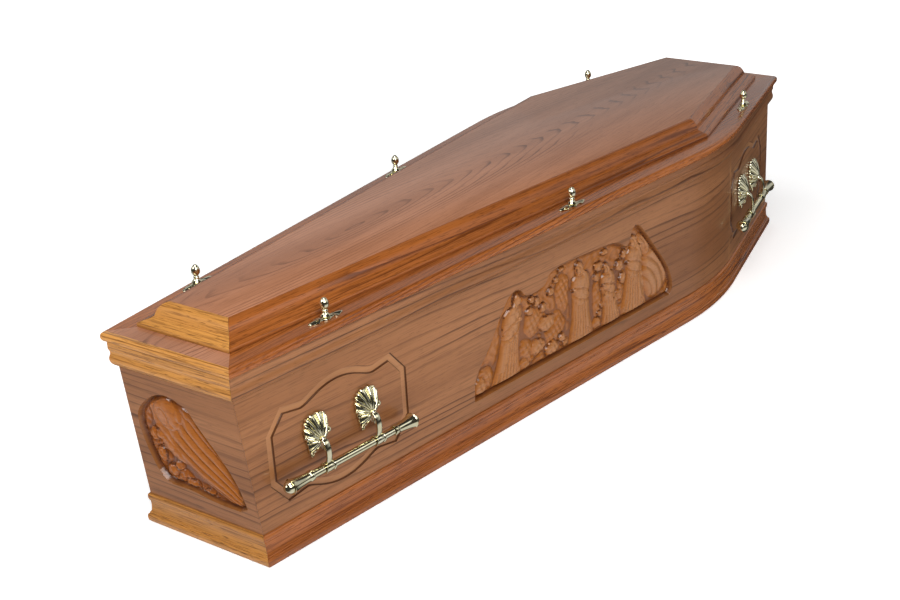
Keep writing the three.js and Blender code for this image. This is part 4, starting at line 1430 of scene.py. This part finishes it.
class MakeBoards(bpy.types.Operator):
    """Routs the frames into the side boards and makes the end boards"""
    bl_idname = "coffin.boards"
    bl_label = "Boards"

    def execute(self, context):
        plan = Plan()
        wood_stock = make_finishes()
        near = side_member("near_side", board_outline(), plan.box_foot)
        seats = [run_matrix(run, FRAME_PLACES[end], FRAME_HEIGHT)
                 for run, end in ((plan.foot_run, "foot"), (plan.head_run, "head"))]
        for seat in seats:
            cut(near, groove_cutter(seat))
        pocket = run_matrix(plan.foot_run, plan.foot + SIDE_CARVING_FROM_FOOT, SIDE_CARVING_HEIGHT)
        cut(near, carving_cutter(SIDE_CARVING_OUTLINE, side_scene, SIDE_CARVING_PITCH, pocket))
        foot = straight_member("foot_end", board_outline(), plan.box_foot, far(plan.box_foot))
        foot_pocket = foot_matrix(FOOT_CARVING_HEIGHT)
        cut(foot, carving_cutter(FOOT_CARVING_OUTLINE, foot_scene, FOOT_CARVING_PITCH, foot_pocket))
        flat = foot_matrix(0).inverted()
        for piece, rule in ((near, plan.grain), (foot, lambda point: (flat @ point).xzy)):
            only(piece)
            bpy.ops.object.shade_smooth_by_angle(angle=math.radians(40))
            set_grain(piece, rule)
        opposite = mirrored(near, "far_side")
        shift_grain(opposite, 0.7)
        head = straight_member("head_end", board_outline(), far(plan.box_head), plan.box_head)
        finishes = [wood_stock[name] for name in BOARD_FINISHES]
        hand_over(near, "near_side_board", "veneer", *finishes)
        hand_over(opposite, "far_side_board", "veneer", *finishes)
        hand_over(head, "head_board", "veneer", *finishes)
        finishes[CARVED] = wood_stock["Foot carving"]
        hand_over(foot, "foot_board", "veneer", *finishes)
        for piece, turn in ((near, Matrix()), (opposite, Matrix.Scale(-1, 4, TOWARD_FAR))):
            for seat in seats:
                # The groove's walls and eased edges take the darker wall finish: painted shade.
                mark_cut(piece, turn @ seat, GROOVE_CORNERS, GROOVE_FLOOR, GROOVE_WALL_SHADE)
            # The pocket's steep faces take the darker wall finish: painted shade on the walls.
            mark_cut(piece, turn @ pocket, SIDE_CARVING_CORNERS, CARVED, CARVED_WALL_SHADE, CARVED_SLOPE)
        mark_cut(foot, foot_pocket, FOOT_CARVING_CORNERS, CARVED, CARVED_WALL_SHADE, CARVED_SLOPE)
        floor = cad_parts["floor_board"]
        floor.data.materials.clear()
        floor.data.materials.append(wood_stock["Floor wood"])
        return {"FINISHED"}


class MakeHandles(bpy.types.Operator):
    """Casts and turns one handle and sets it in each frame"""
    bl_idname = "coffin.handles"
    bl_label = "Handles"

    def execute(self, context):
        plan = Plan()
        brass = make_finishes()["Brass"]
        half = Matrix.Translation((BRACKET_SPACING / 2, 0, 0))
        bracket, bar, cap = handle_bracket(), handle_bar(), handle_cap()
        other_cap = mirrored(cap, "other_cap", Vector((1, 0, 0)))
        parts = (
            (bracket, "bracket_1", half.inverted()), (bracket, "bracket_2", half),
            (bar, "bar", Matrix()), (other_cap, "cap_1", Matrix()), (cap, "cap_2", Matrix()))
        for side in ("near", "far"):
            for end, run in (("foot", plan.foot_run), ("head", plan.head_run)):
                seat = side_matrix(side, run, HANDLE_PLACES[end], HANDLE_HEIGHT)
                for pattern, part, shift in parts:
                    node_name = f"{side}_{end}_handle_{part}"
                    hand_over(placed(pattern, node_name + "_brass", seat @ shift), node_name, "brass", brass)
        for pattern in (bracket, bar, cap, other_cap):
            bpy.data.objects.remove(pattern)
        return {"FINISHED"}


class MakeLidScrews(bpy.types.Operator):
    """Turns one lid screw, casts its plate and sets the six pairs"""
    bl_idname = "coffin.lid_screws"
    bl_label = "Lid screws"

    def execute(self, context):
        plan = Plan()
        brass = make_finishes()["Brass"]
        patterns = ((screw_plate(), "lid_screw_plate"), (lid_screw(), "lid_screw"))
        for side in ("near", "far"):
            for place in ("foot", "middle", "head"):
                run = plan.head_run if place == "head" else plan.foot_run
                along = Vector((run.along.x, run.along.y * (1 if side == "near" else -1), 0))
                for pattern, part in patterns:
                    node_name = f"{side}_{place}_{part}"
                    low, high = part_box(node_name)
                    origin = Vector(((low.x + high.x) / 2, (low.y + high.y) / 2, low.z))
                    seat = Matrix.Translation(origin) @ Matrix(
                        (along, UP.cross(along), UP)).transposed().to_4x4()
                    hand_over(placed(pattern, node_name + "_brass", seat), node_name, "brass", brass)
        for pattern, part in patterns:
            bpy.data.objects.remove(pattern)
        return {"FINISHED"}


class MakeStage(bpy.types.Operator):
    """Sets the floor, the lights and the camera"""
    bl_idname = "coffin.stage"
    bl_label = "Stage"

    def execute(self, context):
        scene = context.scene
        scene.view_settings.view_transform = "Standard"
        bpy.ops.object.select_all(action="DESELECT")
        bpy.ops.mesh.primitive_plane_add(size=60, location=(0, 0, FLOOR_BOX[0].z - 0.0005))
        floor = context.object
        floor.name = "studio_floor"
        material, tree = new_material("Studio floor")
        place = node(tree, "ShaderNodeTexCoord", {}, {}, "Object")
        away = node(tree, "ShaderNodeVectorMath", {"operation": "LENGTH"}, [place], 1)
        # The floor glows like a lamp: painted light, fading to less than half near the coffin's middle, which
        # paints a pool of shade round the coffin.
        glow = blend(tree, away.between(0.9, 3.2), (0.44, 0.44, 0.44), (1.0, 1.0, 1.0))
        surface(tree, (*finish().floor, 1), 0.9, None, 0, Emission_Color=glow, Emission_Strength=1.15)
        floor.data.materials.append(material)
        floor.visible_glossy = False
        make_surroundings(scene)
        for name, place, target, width, power in LIGHTS:
            add_light(name, place, target, width, power)
        add_camera(scene)
        return {"FINISHED"}


# Name, place, target, width in metres and power in watts of each soft box
LIGHTS = (
    ("key", (-1.9, -2.1, 2.1), (-0.4, 0, 0.25), 1.6, 62),
    ("side", (1.2, -3.4, 2.4), (0.2, 0, 0.2), 1.6, 8),
    ("end", (-3.4, 1.4, 2.2), (-0.6, 0, 0.2), 1.2, 34),
    ("top", (-1.4, -0.4, 3.6), (-0.4, 0, 0.3), 2.0, 66),
)
BACKDROP_SIDE = Vector((0.82, 0.57, 0))


def make_surroundings(scene):
    """A bright backdrop behind the coffin and a bright floor before it; the rest of the room is dark."""
    world = scene.world or bpy.data.worlds.new("Studio")
    scene.world = world
    world.use_nodes = True
    tree = world.node_tree
    tree.nodes.clear()
    look = node(tree, "ShaderNodeTexCoord", {}, {}, "Generated")
    ahead = node(tree, "ShaderNodeVectorMath", {"operation": "DOT_PRODUCT"}, [look, BACKDROP_SIDE], 1)
    toward_head, _, height = split(tree, look)
    above = height.between(-0.04, 0.04)
    backdrop = above * ahead.between(-0.25, 0.10) * (1 - height.between(0.46, 0.62))
    below = 1 - height.between(-0.36, -0.16)
    foreground = below * (1 - ahead.between(0.10, 0.50)) * toward_head.between(-0.75, -0.35)
    shade = blend(tree, backdrop * 0.48 + foreground * 0.72, (0.045, 0.043, 0.040), (1.0, 1.0, 1.0))
    glow = node(tree, "ShaderNodeBackground", {}, {"Color": shade, "Strength": 1.0})
    node(tree, "ShaderNodeOutputWorld", {}, {"Surface": glow})


def add_light(name, place, target, width, power):
    light = bpy.data.lights.new(name, "AREA")
    light.size = width
    light.energy = power
    lamp = bpy.data.objects.new(name, light)
    bpy.context.collection.objects.link(lamp)
    lamp.location = place
    lamp.rotation_euler = (Vector(place) - Vector(target)).to_track_quat("Z", "Y").to_euler()


CAMERA_PLACE = Vector((-2.550, -1.815, 1.467))
CAMERA_AZIMUTH = -52.29
CAMERA_ELEVATION = 23.22
CAMERA_ROLL = -3.34
CAMERA_LENS = 61.24


def add_camera(scene):
    azimuth, elevation, roll = map(math.radians, (CAMERA_AZIMUTH, CAMERA_ELEVATION, CAMERA_ROLL))
    back = Vector((
        math.sin(azimuth) * math.cos(elevation), -math.cos(azimuth) * math.cos(elevation),
        math.sin(elevation)))
    level = UP.cross(back).normalized()
    upright = back.cross(level)
    right = level * math.cos(roll) + upright * math.sin(roll)
    top = upright * math.cos(roll) - level * math.sin(roll)
    camera = bpy.data.objects.new("camera", bpy.data.cameras.new("camera"))
    bpy.context.collection.objects.link(camera)
    camera.matrix_world = Matrix.Translation(CAMERA_PLACE) @ Matrix((right, top, back)).transposed().to_4x4()
    camera.data.lens = CAMERA_LENS
    camera.data.sensor_width = 36
    camera.data.clip_start = 0.05
    camera.data.clip_end = 200
    scene.camera = camera


STEPS = (
    MakeBaseMouldings,
    MakeUpperMouldings,
    MakeLidStrips,
    MakeLidBoard,
    MakeTopPanel,
    MakeBoards,
    MakeHandles,
    MakeLidScrews,
    MakeStage,
)


class CoffinPanel(bpy.types.Panel):
    """Lists the steps that dress the coffin"""
    bl_idname = "VIEW3D_PT_coffin"
    bl_label = "Wooden coffin"
    bl_space_type = "VIEW_3D"
    bl_region_type = "UI"
    bl_category = "Coffin"

    def draw(self, context):
        for step in STEPS:
            self.layout.operator(step.bl_idname)
        for group in (context.scene.coffin_sizes, context.scene.coffin_finish):
            for key in group.bl_rna.properties.keys():
                if key not in ("rna_type", "name"):
                    self.layout.prop(group, key)


CLASSES = (CoffinSizes, CoffinFinish, *STEPS, CoffinPanel)


def register():
    for cls in CLASSES:
        bpy.utils.register_class(cls)
    bpy.types.Scene.coffin_sizes = PointerProperty(type=CoffinSizes)
    bpy.types.Scene.coffin_finish = PointerProperty(type=CoffinFinish)


def unregister():
    del bpy.types.Scene.coffin_finish
    del bpy.types.Scene.coffin_sizes
    for cls in reversed(CLASSES):
        bpy.utils.unregister_class(cls)


def main():
    register()
    for step in STEPS:
        group, action = step.bl_idname.split(".")
        getattr(getattr(bpy.ops, group), action)()


if __name__ == "__main__":
    main()
